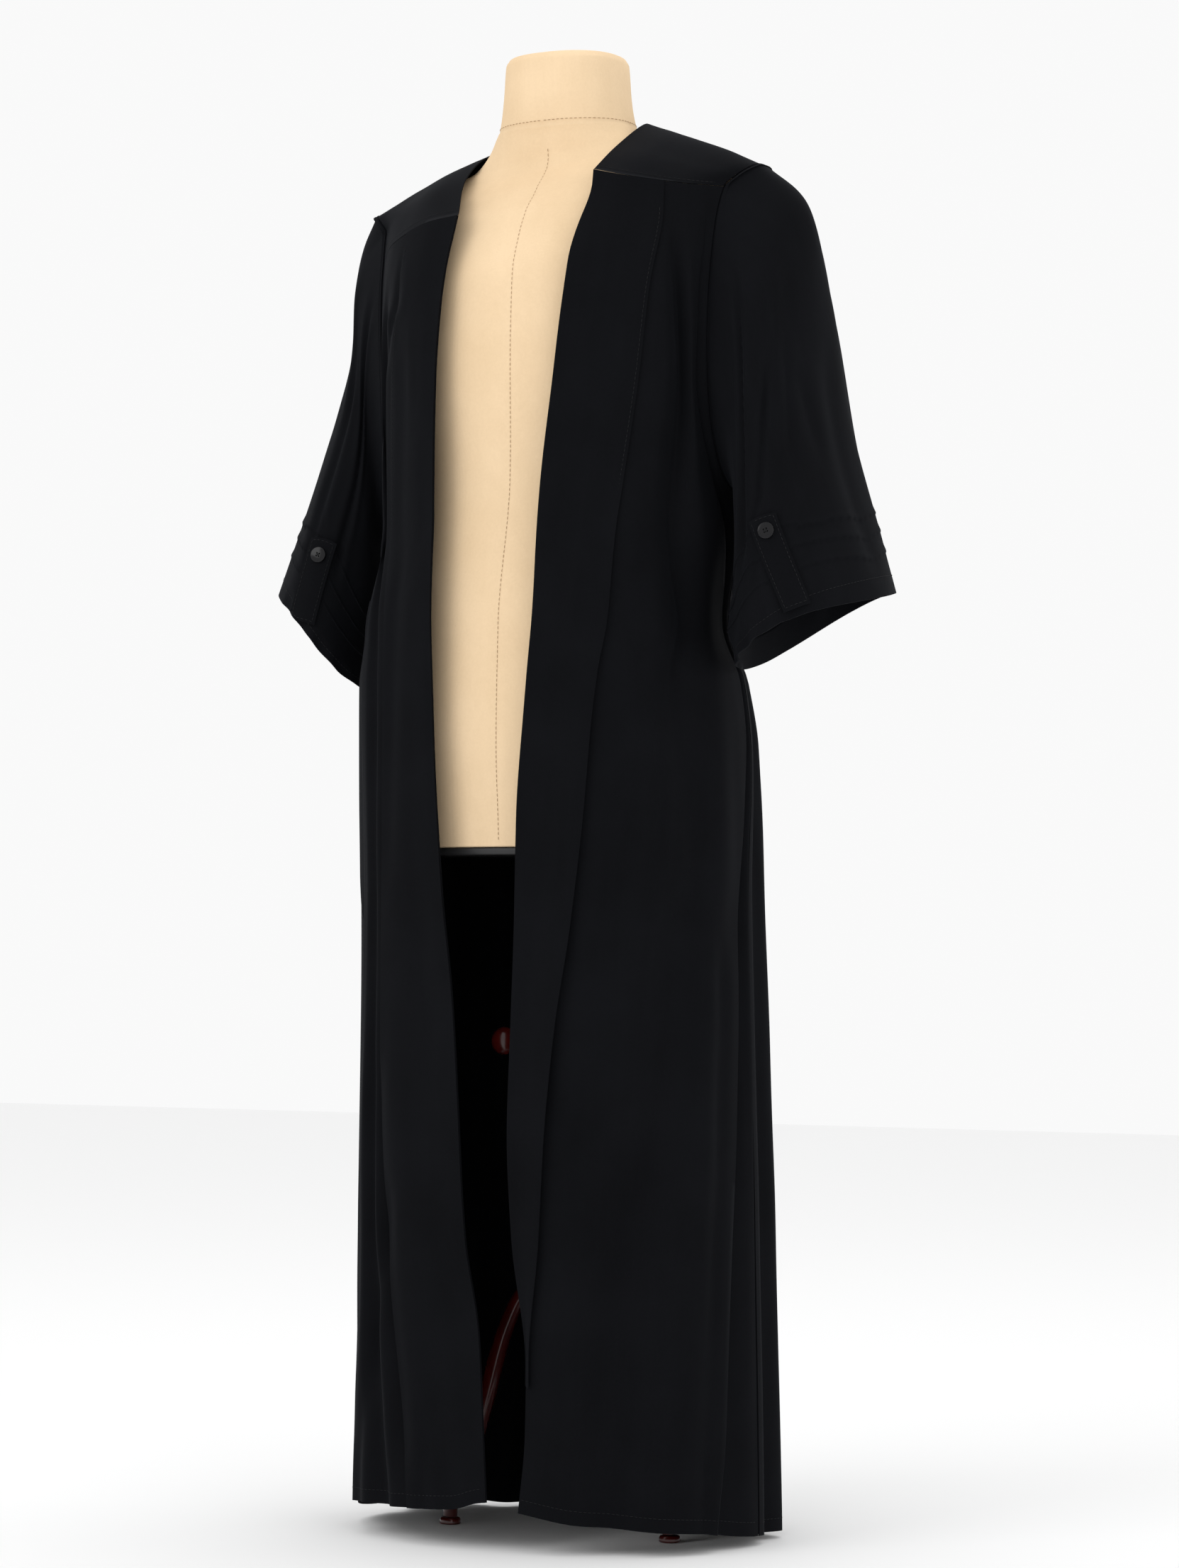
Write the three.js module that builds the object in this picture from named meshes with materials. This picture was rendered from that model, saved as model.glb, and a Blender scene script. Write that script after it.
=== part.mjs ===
// Barrister gown worn on a limbless dress form. Millimetres, +Z up.
// +X is the wearer's left and -Y is the front. The floor is z = 0.
import * as THREE from 'three';

// Driving sizes
const wall = 1.8;            // thickness of a cloth piece
const seam = 0.5;            // gap left where two pieces meet
const sideGap = 0.9;         // half the gap at a side seam
const lap = 0.4;             // gap under a piece that lies on another
const roundness = 2.3;       // exponent of the superellipse of every plan section
const rightDrop = 14;        // the right shoulder hangs this much lower than the left
const neckHalf = 80;         // half width of the neck opening

// Plan sections of the hanging cloth: half width, depth before and behind the axis, and shift along x
const bodySections = [
  { z: 0, half: 208, front: 150, back: 147, shift: -7 },
  { z: 294, half: 204, front: 148, back: 146.5, shift: -9 },
  { z: 454, half: 200, front: 145, back: 146, shift: -11 },
  { z: 594, half: 197, front: 142, back: 145, shift: -13 },
  { z: 734, half: 196, front: 139, back: 138, shift: -15 },
  { z: 794, half: 193, front: 137, back: 124, shift: -18 },
  { z: 844, half: 181, front: 136, back: 115, shift: -22 },
  { z: 950, half: 179, front: 134, back: 113, shift: 0 },
  { z: 994, half: 179, front: 134, back: 113, shift: 0 },
  { z: 1094, half: 182, front: 132, back: 117, shift: 0 },
  { z: 1174, half: 185, front: 125, back: 118, shift: 0 },
  { z: 1244, half: 186, front: 106, back: 108, shift: 0 },
  { z: 1256, half: 195, front: 104, back: 106, shift: 0 },
  { z: 1267, half: 204, front: 102, back: 104, shift: 0 },
];

// Depth of the left side seam below the armhole
const sideSeam = [{ z: 0, y: 4 }, { z: 594, y: 16 }, { z: 734, y: 32 }, { z: 844, y: 30 }, { z: 966, y: 4 }];

// Height of the hem round the gown
const hemLine = [
  { angle: -180, z: 2 },
  { angle: -95, z: 9 },
  { angle: -48, z: 29 },
  { angle: -23, z: 32 },
  { angle: -6, z: 35 },
  { angle: 2, z: 44 },
  { angle: 8, z: 37 },
  { angle: 30, z: 26 },
  { angle: 63, z: 19 },
  { angle: 95, z: 8 },
  { angle: 180, z: 2 },
];

// Front panels: how far the lines that run down them lie from the centre, outward being plus,
// and the depth of the outermost line, the pleat
const leftLines = [
  { z: 0, edge: 32, band: 44, valley: 118, pleat: -60 },
  { z: 107, edge: 41, band: 46, valley: 122, pleat: -48 },
  { z: 171, edge: 42, band: 46, valley: 127, pleat: -43 },
  { z: 283, edge: 28, band: 55, valley: 139, pleat: -33 },
  { z: 388, edge: 22, band: 60, valley: 153, pleat: -21 },
  { z: 478, edge: 24, band: 68, valley: 162, pleat: -14 },
  { z: 567, edge: 26, band: 80, valley: 164, pleat: -9 },
  { z: 669, edge: 27, band: 90, valley: 168, pleat: 10 },
  { z: 764, edge: 33, band: 96, valley: 158, pleat: 21 },
  { z: 864, edge: 40, band: 105, valley: 153, pleat: 12 },
  { z: 969, edge: 48, band: 120, valley: 158, pleat: -35 },
  { z: 1074, edge: 60, band: 133, valley: 163, pleat: -59 },
  { z: 1144, edge: 67, band: 139, valley: 160, pleat: -58 },
  { z: 1209, edge: 73, band: 145, valley: 153, pleat: -48 },
  { z: 1244, edge: 77, band: 143, valley: 148, pleat: -44 },
];
const rightLines = [
  { z: 0, edge: -3, band: 84, valley: 122, pleat: -101 },
  { z: 110, edge: 2, band: 90, valley: 130, pleat: -105 },
  { z: 196, edge: 7, band: 101, valley: 134, pleat: -107 },
  { z: 283, edge: 22, band: 112, valley: 138, pleat: -108 },
  { z: 408, edge: 31, band: 123, valley: 141, pleat: -107 },
  { z: 510, edge: 39, band: 125, valley: 141, pleat: -106 },
  { z: 606, edge: 52, band: 126, valley: 141, pleat: -105 },
  { z: 729, edge: 62, band: 127, valley: 142, pleat: -100 },
  { z: 864, edge: 68, band: 129, valley: 146, pleat: -95 },
  { z: 969, edge: 69, band: 130, valley: 148, pleat: -88 },
  { z: 1074, edge: 68, band: 129, valley: 150, pleat: -80 },
  { z: 1144, edge: 64, band: 122, valley: 148, pleat: -73 },
  { z: 1209, edge: 58, band: 119, valley: 144, pleat: -57 },
  { z: 1244, edge: 56, band: 119, valley: 142, pleat: -49 },
];

// Relief of a front panel: crest before the valley, valley depth, crest after it, drop past the pleat
const leftRelief = [
  { z: 0, crest: 5, valley: 8, shoulder: 5, recess: 12 },
  { z: 244, crest: 4, valley: 7, shoulder: 4, recess: 12 },
  { z: 474, crest: 2, valley: 4, shoulder: 3, recess: 11 },
  { z: 694, crest: 1, valley: 4, shoulder: 2, recess: 10 },
  { z: 864, crest: 2, valley: 9, shoulder: 2, recess: 6 },
  { z: 1084, crest: 2, valley: 9, shoulder: 2, recess: 5 },
  { z: 1244, crest: 0, valley: 0, shoulder: 0, recess: 0 },
];
const rightRelief = [
  { z: 0, crest: 3, valley: 8, shoulder: 3, recess: 11 },
  { z: 244, crest: 3, valley: 7, shoulder: 3, recess: 11 },
  { z: 594, crest: 1, valley: 3, shoulder: 1, recess: 9 },
  { z: 894, crest: 1, valley: 5, shoulder: 1, recess: 6 },
  { z: 1084, crest: 1, valley: 6, shoulder: 1, recess: 5 },
  { z: 1209, crest: 0, valley: 0, shoulder: 0, recess: 0 },
  { z: 1244, crest: 0, valley: 0, shoulder: 0, recess: 0 },
];

// How far the free edge of a stitched-down front pleat stands off the panel
const bandStandoff = [
  { z: 0, left: 1, right: 2 },
  { z: 194, left: 3, right: 4 },
  { z: 394, left: 6, right: 3 },
  { z: 614, left: 5, right: 1 },
  { z: 894, left: 1.5, right: 0.5 },
  { z: 1024, left: 0, right: 0 },
  { z: 1244, left: 0, right: 0 },
];
const leftBandEnd = 0.905;   // share of the way to the hem where the left front pleat runs into the edge

// The yoke, from the front seam over the shoulder to the centre back: neck, two points between, outer edge
const yokeStations = [
  { neck: [79, -88, 1260], near: [112, -86, 1252], far: [155, -63, 1245], onArmhole: 32 },
  { neck: [80, -50, 1286], near: [115, -54, 1278], far: [158, -39, 1265], onArmhole: 20 },
  { neck: [82, 5, 1316], near: [118, 4, 1303], far: [160, 3, 1287], onArmhole: 0 },
  { neck: [63, 52, 1314], near: [101, 61, 1289], far: [147, 56, 1266], onArmhole: -26 },
  { neck: [40, 70, 1312], near: [84, 86, 1279], far: [131, 79, 1243], onArmhole: -54 },
  { neck: [20, 77, 1310], near: [50, 98, 1282], far: [82, 106, 1244], outer: [108, 100, 1198] },
  { neck: [0, 79, 1309], near: [0, 101, 1282], far: [0, 115, 1242], outer: [0, 120, 1195] },
];
const rightFrontSeam = {
  neck: [57, -104, 1240], near: [92, -102, 1237], far: [142, -80, 1225], onArmhole: 48,
};

// Armhole: an upright ring on the side of the body
const armhole = { midZ: 1118, halfZ: 149, midY: 4, halfY: 52, fullness: 0.7 };
const sleeveOff = 2.0;       // the sleeve starts this far outside it

// Sleeve rings below the armhole: outermost, innermost, foremost and rearmost points of each.
// The right sleeve differs by turn: outermost, foremost and innermost outward, and foremost backward
const sleeveStations = [
  {
    at: 0.15, outer: [246, 6, 1230], inner: [189, 10, 950],
    front: [204, -57, 1082], rear: [200, 66, 1098], turn: [-18, -8, 6, 19],
  },
  {
    at: 0.40, outer: [262, 14, 1144], inner: [188, 16, 899],
    front: [224, -66, 1006], rear: [220, 88, 1026], turn: [-26, -20, 17, 20],
  },
  {
    at: 0.70, outer: [279, 20, 1009], inner: [183, 20, 852],
    front: [238, -74, 919], rear: [234, 106, 944], turn: [-12, -8, 29, 12],
  },
  {
    at: 1.00, outer: [317, 28, 868], inner: [180, 22, 806],
    front: [254, -76, 836], rear: [246, 120, 866], turn: [0, 0, 36, 0],
  },
];
const rightHemRise = { outer: 47, inner: 4, front: 10 };   // at the hem, over the drop of the right shoulder
const tucks = { at: [0.825, 0.875, 0.917], width: 0.02, height: 1.3 };
const hemPleats = { from: 62, to: 172, count: 5, depth: 3 };

// Tab buttoned on each sleeve, and its button: shares of the way down the sleeve, and angles round it
const tab = { halfWidth: 12.5, thick: 1.6, lowest: 0.985 };
const leftTab = { top: 0.68, bottom: 0.98, angleTop: 82, angleBottom: 69, button: 0.735 };
const rightTab = { top: 0.70, bottom: 0.98, angleTop: 87, angleBottom: 94, button: 0.755 };
const button = { radius: 7.5, thick: 3.4, dish: 5, dishDepth: 1, gap: 0.3 };

// Edge of the pocket that shows behind each front panel
const pocket = { from: 0.28, to: 0.537, leftReach: 0.17, rightReach: 0.24, thick: 1.5 };

// Dress form sections
const formSections = [
  { z: 641, half: 154, front: 116, back: 114, shift: -10 },
  { z: 734, half: 152, front: 117, back: 110, shift: -12 },
  { z: 844, half: 141, front: 113, back: 98, shift: -12 },
  { z: 974, half: 144, front: 107, back: 96, shift: -3 },
  { z: 1084, half: 156, front: 112, back: 103, shift: 0 },
  { z: 1164, half: 164, front: 109, back: 103, shift: 0 },
  { z: 1209, half: 170, front: 97, back: 99, shift: 0 },
  { z: 1236, half: 177, front: 84, back: 91, shift: 0 },
  { z: 1252, half: 182, front: 70, back: 80, shift: 0 },
  { z: 1262, half: 178, front: 62, back: 73, shift: 0 },
  { z: 1272, half: 162, front: 52, back: 66, shift: 0 },
  { z: 1283, half: 132, front: 43, back: 61, shift: 0 },
  { z: 1294, half: 97, front: 40, back: 57, shift: 0 },
  { z: 1306, half: 75, front: 42, back: 54, shift: 0 },
  { z: 1320, half: 65, front: 47, back: 54, shift: 0 },
  { z: 1345, half: 60, front: 50, back: 54, shift: 0 },
  { z: 1376, half: 57, front: 50, back: 54, shift: 0 },
  { z: 1382, half: 54, front: 47, back: 51, shift: 0 },
];
const formBase = { thick: 7, inset: 2 };

// Stand
const pole = { radius: 14, bottom: 179 };
const hub = { bottom: 190, top: 256, radius: 30 };
const clamp = { z: 461, height: 34, radius: 23, knobReach: 66, knobRadius: 13, stemRadius: 4.5, angle: -122 };
const legs = { turns: [-172, -8, 90], radius: 9, steps: 14, sides: 10 };
// Reach and height along a leg
const legPath = [[31, 226], [42, 225], [62, 190], [82, 124], [102, 56], [119, 17], [120, 7.2]];
const foot = { reach: 120, radius: 10, height: 6 };

const toRadians = Math.PI / 180;
const clamped = (x) => Math.min(1, Math.max(0, x));
const smooth = (x) => clamped(x) ** 2 * (3 - 2 * clamped(x));
const mix = (a, b, f) => a + (b - a) * f;

// A column of a table at one value of its first column, on a smooth curve through the rows
function look(rows, column, value, by = 'z') {
  const last = rows.length - 1;
  if (value <= rows[0][by]) return rows[0][column];
  if (value >= rows[last][by]) return rows[last][column];
  const i = rows.findIndex((row) => row[by] > value) - 1;
  const slope = (k) => {
    if (k <= 0 || k >= last) return 0;
    const before = (rows[k][column] - rows[k - 1][column]) / (rows[k][by] - rows[k - 1][by]);
    const after = (rows[k + 1][column] - rows[k][column]) / (rows[k + 1][by] - rows[k][by]);
    return before * after <= 0 ? 0 : 2 * before * after / (before + after);
  };
  const span = rows[i + 1][by] - rows[i][by];
  const f = (value - rows[i][by]) / span;
  const ease = f * f * (3 - 2 * f);
  return mix(rows[i][column], rows[i + 1][column], ease)
    + span * f * (1 - f) * ((1 - f) * slope(i) - f * slope(i + 1));
}

// Point on a superellipse section at an angle from the centre front, moved out along its normal
function sectionPoint(sections, degrees, z, lift = 0) {
  const s = Math.sin(degrees * toRadians);
  const c = Math.cos(degrees * toRadians);
  const a = look(sections, 'half', z);
  const b = look(sections, c > 0 ? 'front' : 'back', z);
  const x = a * Math.sign(s) * Math.abs(s) ** (2 / roundness);
  const y = -b * Math.sign(c) * Math.abs(c) ** (2 / roundness);
  const nx = Math.sign(x) * Math.abs(x / a) ** (roundness - 1) / a;
  const ny = Math.sign(y) * Math.abs(y / b) ** (roundness - 1) / b;
  const length = Math.hypot(nx, ny);
  const shift = look(sections, 'shift', z);
  return new THREE.Vector3(x + shift + lift * nx / length, y + lift * ny / length, z);
}

// Angle at which a front section passes a distance from the centre
function angleAcross(x, z) {
  const reach = x - look(bodySections, 'shift', z);
  const share = Math.min(1, Math.abs(reach) / look(bodySections, 'half', z));
  return Math.sign(reach) * Math.asin(share ** (roundness / 2)) / toRadians;
}

// Angle at which a section passes a depth, minus being the front
function angleDeep(y, z) {
  const share = Math.min(1, Math.abs(y) / look(bodySections, y < 0 ? 'front' : 'back', z));
  const fromSide = Math.asin(share ** (roundness / 2)) / toRadians;
  return y < 0 ? 90 - fromSide : 90 + fromSide;
}

// Closed cloth wall under a grid of outer points; turn is 1 or -1, for which side is out.
// On a seam, mitre(i, j) names the axis that the wall's thickness must not run along
function clothGeometry(grid, thick, turn, { ring = false, mitre = () => null } = {}) {
  const rows = grid.length;
  const across = grid[0].length;
  const pick = (i, j) => grid[Math.min(rows - 1, Math.max(0, i))][
    ring ? (j + across) % across : Math.min(across - 1, Math.max(0, j))];
  const positions = [];
  const inner = [];
  for (let i = 0; i < rows; i += 1) {
    for (let j = 0; j < across; j += 1) {
      const down = pick(i + 1, j).clone().sub(pick(i - 1, j));
      const along = pick(i, j + 1).clone().sub(pick(i, j - 1));
      const normal = down.cross(along);
      const axis = mitre(i, j);
      if (axis) normal[axis] = 0;
      normal.normalize().multiplyScalar(-turn * thick);
      const p = grid[i][j];
      positions.push(p.x, p.y, p.z);
      inner.push(p.x + normal.x, p.y + normal.y, p.z + normal.z);
    }
  }
  const under = rows * across;
  const index = [];
  const quad = (a, b, c, d) => (turn > 0 ? index.push(a, b, c, a, c, d) : index.push(a, c, b, a, d, c));
  const spans = ring ? across : across - 1;
  for (let i = 0; i < rows - 1; i += 1) {
    for (let j = 0; j < spans; j += 1) {
      const a = i * across + j;
      const b = (i + 1) * across + j;
      const c = (i + 1) * across + (j + 1) % across;
      const d = i * across + (j + 1) % across;
      quad(a, b, c, d);
      quad(under + a, under + d, under + c, under + b);
    }
  }
  for (let j = 0; j < spans; j += 1) {
    const next = (j + 1) % across;
    const low = (rows - 1) * across;
    quad(j, next, under + next, under + j);
    quad(low + j, under + low + j, under + low + next, low + next);
  }
  for (let i = 0; !ring && i < rows - 1; i += 1) {
    const a = i * across;
    const b = (i + 1) * across;
    const e = across - 1;
    quad(a, under + a, under + b, b);
    quad(a + e, b + e, under + b + e, under + a + e);
  }
  const geometry = new THREE.BufferGeometry();
  geometry.setAttribute('position', new THREE.Float32BufferAttribute([...positions, ...inner], 3));
  geometry.setIndex(index);
  geometry.computeVertexNormals();
  return geometry;
}

const finishes = {
  cloth: { color: 0x0b0c10, roughness: 0.85, metalness: 0 },
  button: { color: 0x111114, roughness: 0.25, metalness: 0 },
  form: { color: 0xf0d4b0, roughness: 0.9, metalness: 0 },
  wood: { color: 0x5a1712, roughness: 0.35, metalness: 0 },
  metal: { color: 0x2a2a2c, roughness: 0.4, metalness: 0.8 },
};
const gown = new THREE.Group();

function add(name, geometry, finish) {
  const mesh = new THREE.Mesh(geometry, new THREE.MeshStandardMaterial(finishes[finish]));
  mesh.name = name;
  gown.add(mesh);
  return mesh;
}

// Armhole ring, in degrees from its top round by the front
function armholePoint(side, degrees) {
  const c = Math.cos(degrees * toRadians);
  const s = Math.sin(degrees * toRadians);
  const z = armhole.midZ + armhole.halfZ * c;
  const y = armhole.midY - armhole.halfY * Math.sign(s) * Math.abs(s) ** armhole.fullness;
  const depth = look(bodySections, y < 0 ? 'front' : 'back', z);
  const x = look(bodySections, 'half', z) * (1 - (Math.abs(y) / depth) ** roundness) ** (1 / roundness);
  return new THREE.Vector3(side * (x + sleeveOff), y, z - (side < 0 ? rightDrop : 0));
}

// Yoke
// The left half of the table, then its mirror with the right shoulder lower
const yokeBackFrom = 4 / (2 * (yokeStations.length - 1));   // where on the way round the back seam starts
function dropped(x) {
  return rightDrop * smooth((neckHalf - x) / (2 * neckHalf));
}
function armholeEdge(side, degrees) {
  const point = armholePoint(side, degrees);
  return point.setX(point.x - side * sleeveOff);
}
function yokeColumn(key) {
  const place = (side) => (row) => {
    if (key === 'outer' && !row.outer) return armholeEdge(side, row.onArmhole);
    const [x, y, z] = row[key];
    return new THREE.Vector3(side * x, y, z - dropped(side * x));
  };
  const left = yokeStations.map(place(1));
  const right = [rightFrontSeam, ...yokeStations.slice(1, -1)].reverse().map(place(-1));
  return new THREE.CatmullRomCurve3([...left, ...right]);
}
const yokeColumns = ['neck', 'near', 'far', 'outer'].map(yokeColumn);
function yokeOuter(u) {
  if (u >= yokeBackFrom && u <= 1 - yokeBackFrom) return yokeColumns[3].getPoint(u);
  const side = u < 0.5 ? 1 : -1;
  const angles = yokeStations.slice(0, 5).map((row) => row.onArmhole);
  if (side < 0) angles[0] = rightFrontSeam.onArmhole;
  const along = 4 * Math.min(u, 1 - u) / yokeBackFrom;
  const k = Math.min(3, Math.floor(along));
  return armholeEdge(side, mix(angles[k], angles[k + 1], along - k));
}
function yokePoint(u, r) {
  const across = [...yokeColumns.slice(0, 3).map((curve) => curve.getPoint(u)), yokeOuter(u)];
  return new THREE.CatmullRomCurve3(across).getPoint(r);
}
function makeYoke() {
  const grid = [];
  const rings = 6;
  const along = 34;
  for (let i = 0; i <= rings; i += 1) {
    grid.push(Array.from({ length: along + 1 }, (_, j) => yokePoint(j / along, i / rings)));
  }
  const seamAxis = (i, j) => {
    if (j === 0 || j === along) return 'z';
    const u = j / along;
    return i === rings && Math.min(u, 1 - u) < yokeBackFrom ? 'x' : null;
  };
  return clothGeometry(grid, wall, 1, { mitre: seamAxis });
}

// Share along a falling or rising run where its x reaches a value
function findShare(pointAt, x, from, to) {
  let low = from;
  let high = to;
  const rising = pointAt(to).x > pointAt(from).x;
  for (let k = 0; k < 30; k += 1) {
    const mid = (low + high) / 2;
    if ((pointAt(mid).x < x) === rising) low = mid;
    else high = mid;
  }
  return pointAt((low + high) / 2);
}

// Where the armhole cuts a panel at a height, at the front or back; below it, the side seam
function sideAt(side, z, behind) {
  const level = z + (side < 0 ? rightDrop : 0);
  const share = (level - armhole.midZ) / armhole.halfZ;
  const half = armhole.halfY * Math.max(0, 1 - share * share) ** (armhole.fullness / 2);
  const reach = half + (half > 0 ? seam : sideGap);
  const middle = side > 0 ? look(sideSeam, 'y', z) : armhole.midY;
  return angleDeep(middle + (behind ? reach : -reach), z);
}

// Front panels
const lineNames = ['edge', 'band', 'valley', 'pleat'];
const frontSteps = [4, 5, 4, 1, 4];        // columns between those lines, the foot of the pleat and the side
const pleatFoot = 3.14;                    // the drop past the pleat ends here, on the last stretch
function frontAngle(side, t, z) {
  const lines = side > 0 ? leftLines : rightLines;
  const stop = (k) => {
    if (k < 3) return side * angleAcross(side * look(lines, lineNames[k], z), z);
    return k === 3 ? angleDeep(look(lines, 'pleat', z), z) : sideAt(side, z, false);
  };
  const k = Math.min(3, Math.floor(t));
  return mix(stop(k), stop(k + 1), t - k);
}
function frontRelief(side, t, z) {
  const rows = side > 0 ? leftRelief : rightRelief;
  const knots = [
    [0, 0], [1, 0], [1.5, look(rows, 'crest', z)], [2, -look(rows, 'valley', z)],
    [2.55, look(rows, 'shoulder', z)], [3, 0], [pleatFoot, -look(rows, 'recess', z)], [4, 0],
  ];
  const i = Math.max(0, knots.findIndex(([at]) => at >= t) - 1);
  return mix(knots[i][1], knots[i + 1][1], smooth((t - knots[i][0]) / (knots[i + 1][0] - knots[i][0])));
}
function frontTop(side, t) {
  const lines = side > 0 ? leftLines : rightLines;
  const end = side > 0 ? 0 : 1;
  const seamAt = (r) => yokePoint(end, r);
  const corner = seamAt(1);
  const marks = lineNames.slice(0, 3).map((name) => side * look(lines, name, 1240));
  marks[0] = seamAt(0).x;
  marks.push(mix(marks[2], corner.x, 0.7), corner.x);
  const k = Math.min(3, Math.floor(t));
  return findShare(seamAt, mix(marks[k], marks[k + 1], t - k), 0, 1);
}
const topBlend = 90;                        // the panel takes its own section this far below the yoke
function frontPoint(side, t, v, lift = 0) {
  const top = frontTop(side, t);
  const topZ = top.z - seam;
  const hemAngle = side * frontAngle(side, t, 40);
  const z = mix(topZ, look(hemLine, 'z', hemAngle, 'angle'), v);
  const blend = 1 - smooth((topZ - z) / topBlend);
  const out = frontRelief(side, t, z) * (1 - blend) + lift;
  const own = sectionPoint(bodySections, side * frontAngle(side, t, z), z, out);
  const ownTop = sectionPoint(bodySections, side * frontAngle(side, t, topZ), topZ);
  return new THREE.Vector3(own.x + (top.x - ownTop.x) * blend, own.y + (top.y - ownTop.y) * blend, z);
}
const panelLevels = [
  0, 0.02, 0.045, 0.08, 0.12, 0.16, 0.2, 0.237, 0.28, 0.34, 0.4, 0.47, 0.52, 0.537,
  0.6, 0.68, 0.76, 0.84, 0.905, 0.95, 1,
];                                          // rows of points, as shares of the way down to the hem
function frontColumns() {
  const stops = [0, 1, 2, 3, pleatFoot, 4];
  const columns = [0];
  frontSteps.forEach((count, k) => {
    for (let j = 1; j <= count; j += 1) columns.push(mix(stops[k], stops[k + 1], j / count));
  });
  return columns;
}
const topSeam = (i) => (i === 0 ? 'z' : null);
function makeFront(side) {
  const columns = frontColumns();
  const grid = panelLevels.map((v) => columns.map((t) => frontPoint(side, t, v)));
  const mitre = (i, j) => topSeam(i) || (j === columns.length - 1 ? 'y' : null);
  return clothGeometry(grid, wall, side, { mitre });
}

// Front pleats, stitched down above and free below, lying on the panels' own points
function makeBand(side) {
  const key = side > 0 ? 'left' : 'right';
  const columns = frontColumns().filter((t) => t <= 1);
  const levels = panelLevels.filter((v) => side < 0 || v <= leftBandEnd);
  const grid = levels.map((v) => columns.map((t) => {
    const { z } = frontPoint(side, t, v);
    const onSlope = 1 + 0.3 * smooth((z - 1080) / 150);
    const off = look(bandStandoff, key, z) * smooth(t * 1.2 - 0.2);
    return frontPoint(side, t, v, (wall + lap) * onSlope + off);
  }));
  return clothGeometry(grid, wall, side, { mitre: topSeam });
}

// Back panel, gathered into the yoke
const backSteps = 44;
const backRows = 15;
const gathers = { folds: 9, atYoke: 2, atHem: 8, plainEdge: 0.06 };
function backPoint(t, v) {
  const left = yokePoint(yokeBackFrom, 1);
  const right = yokePoint(1 - yokeBackFrom, 1);
  const top = findShare((u) => yokePoint(u, 1), mix(left.x, right.x, t), yokeBackFrom, 1 - yokeBackFrom);
  const topZ = top.z - seam;
  const angleAt = (z) => mix(sideAt(1, z, true), 360 - sideAt(-1, z, true), t);
  const low = look(hemLine, 'z', angleAt(40) > 180 ? angleAt(40) - 360 : angleAt(40), 'angle');
  const z = mix(topZ, low, v);
  const fade = smooth(t / gathers.plainEdge) * smooth((1 - t) / gathers.plainEdge);
  const swing = Math.cos(2 * Math.PI * gathers.folds * (t + 0.012 * Math.sin(9 * t + 2 * v)));
  const lift = fade * mix(gathers.atYoke, gathers.atHem, v) * (swing - 0.2);
  const blend = 1 - smooth((topZ - z) / topBlend);
  const own = sectionPoint(bodySections, angleAt(z), z, lift * smooth((topZ - z) / 20));
  const ownTop = sectionPoint(bodySections, angleAt(topZ), topZ);
  return new THREE.Vector3(own.x + (top.x - ownTop.x) * blend, own.y + (top.y - ownTop.y) * blend, z);
}
function makeBack() {
  const grid = Array.from({ length: backRows }, (_, i) => (
    Array.from({ length: backSteps + 1 }, (__, j) => backPoint(j / backSteps, i / (backRows - 1)))));
  return clothGeometry(grid, wall, 1, { mitre: (i, j) => topSeam(i) || (j % backSteps === 0 ? 'y' : null) });
}

// Sleeves
function sleeveRing(side, station, degrees) {
  const c = Math.cos(degrees * toRadians);
  const s = Math.sin(degrees * toRadians);
  const share = smooth(station.at);
  const [outerOut, frontOut, innerOut, frontBack] = side < 0 ? station.turn : [0, 0, 0, 0];
  const outer = [station.outer[0] + outerOut, station.outer[1], station.outer[2]];
  const front = [station.front[0] + frontOut, station.front[1] + frontBack, station.front[2]];
  const inner = [station.inner[0] + innerOut, station.inner[1], station.inner[2]];
  const { rear } = station;
  const point = [0, 1, 2].map((k) => {
    const ends = outer[k] + inner[k];
    const flanks = front[k] + rear[k];
    return (ends + flanks) / 4 + c * (outer[k] - inner[k]) / 2
      + s * (front[k] - rear[k]) / 2 + (ends - flanks) / 4 * Math.cos(2 * degrees * toRadians);
  });
  const frontRise = rightHemRise.front * Math.max(0, s) ** 2;
  const rise = (mix(rightHemRise.inner, rightHemRise.outer, (1 + c) / 2) + frontRise) * share;
  return new THREE.Vector3(side * point[0], point[1], point[2] + (side < 0 ? rise - rightDrop : 0));
}
function sleevePoint(side, degrees, v) {
  const rings = sleeveStations.map((row) => sleeveRing(side, row, degrees));
  const points = [armholePoint(side, degrees), ...rings];
  const stops = [0, ...sleeveStations.map((row) => row.at)];
  const k = Math.max(0, stops.findIndex((stop) => stop >= v) - 1);
  const curve = new THREE.CatmullRomCurve3(points);
  return curve.getPoint((k + (v - stops[k]) / (stops[k + 1] - stops[k])) / (stops.length - 1));
}
// The sleeve's outward direction at a point
function sleeveNormal(side, degrees, v) {
  const step = 0.01;
  const down = sleevePoint(side, degrees, v).sub(sleevePoint(side, degrees, v - step));
  const round = sleevePoint(side, degrees + 1, v).sub(sleevePoint(side, degrees - 1, v));
  return round.cross(down).normalize().multiplyScalar(side);
}
function sleeveAngles() {
  const plain = 14;
  const waved = 4 * hemPleats.count;
  const list = [];
  for (let j = 0; j < waved; j += 1) list.push(mix(hemPleats.from, hemPleats.to, j / waved));
  const rest = 360 - (hemPleats.to - hemPleats.from);
  for (let j = 0; j < plain; j += 1) list.push(hemPleats.to + rest * j / plain);
  return list;
}
function sleeveRows() {
  const rows = [0, 0.05, 0.12, 0.22, 0.34, 0.47, 0.6, 0.72];
  tucks.at.forEach((at) => rows.push(at - tucks.width, at));
  return [...rows, 0.945, 0.975, 1];
}
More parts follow.
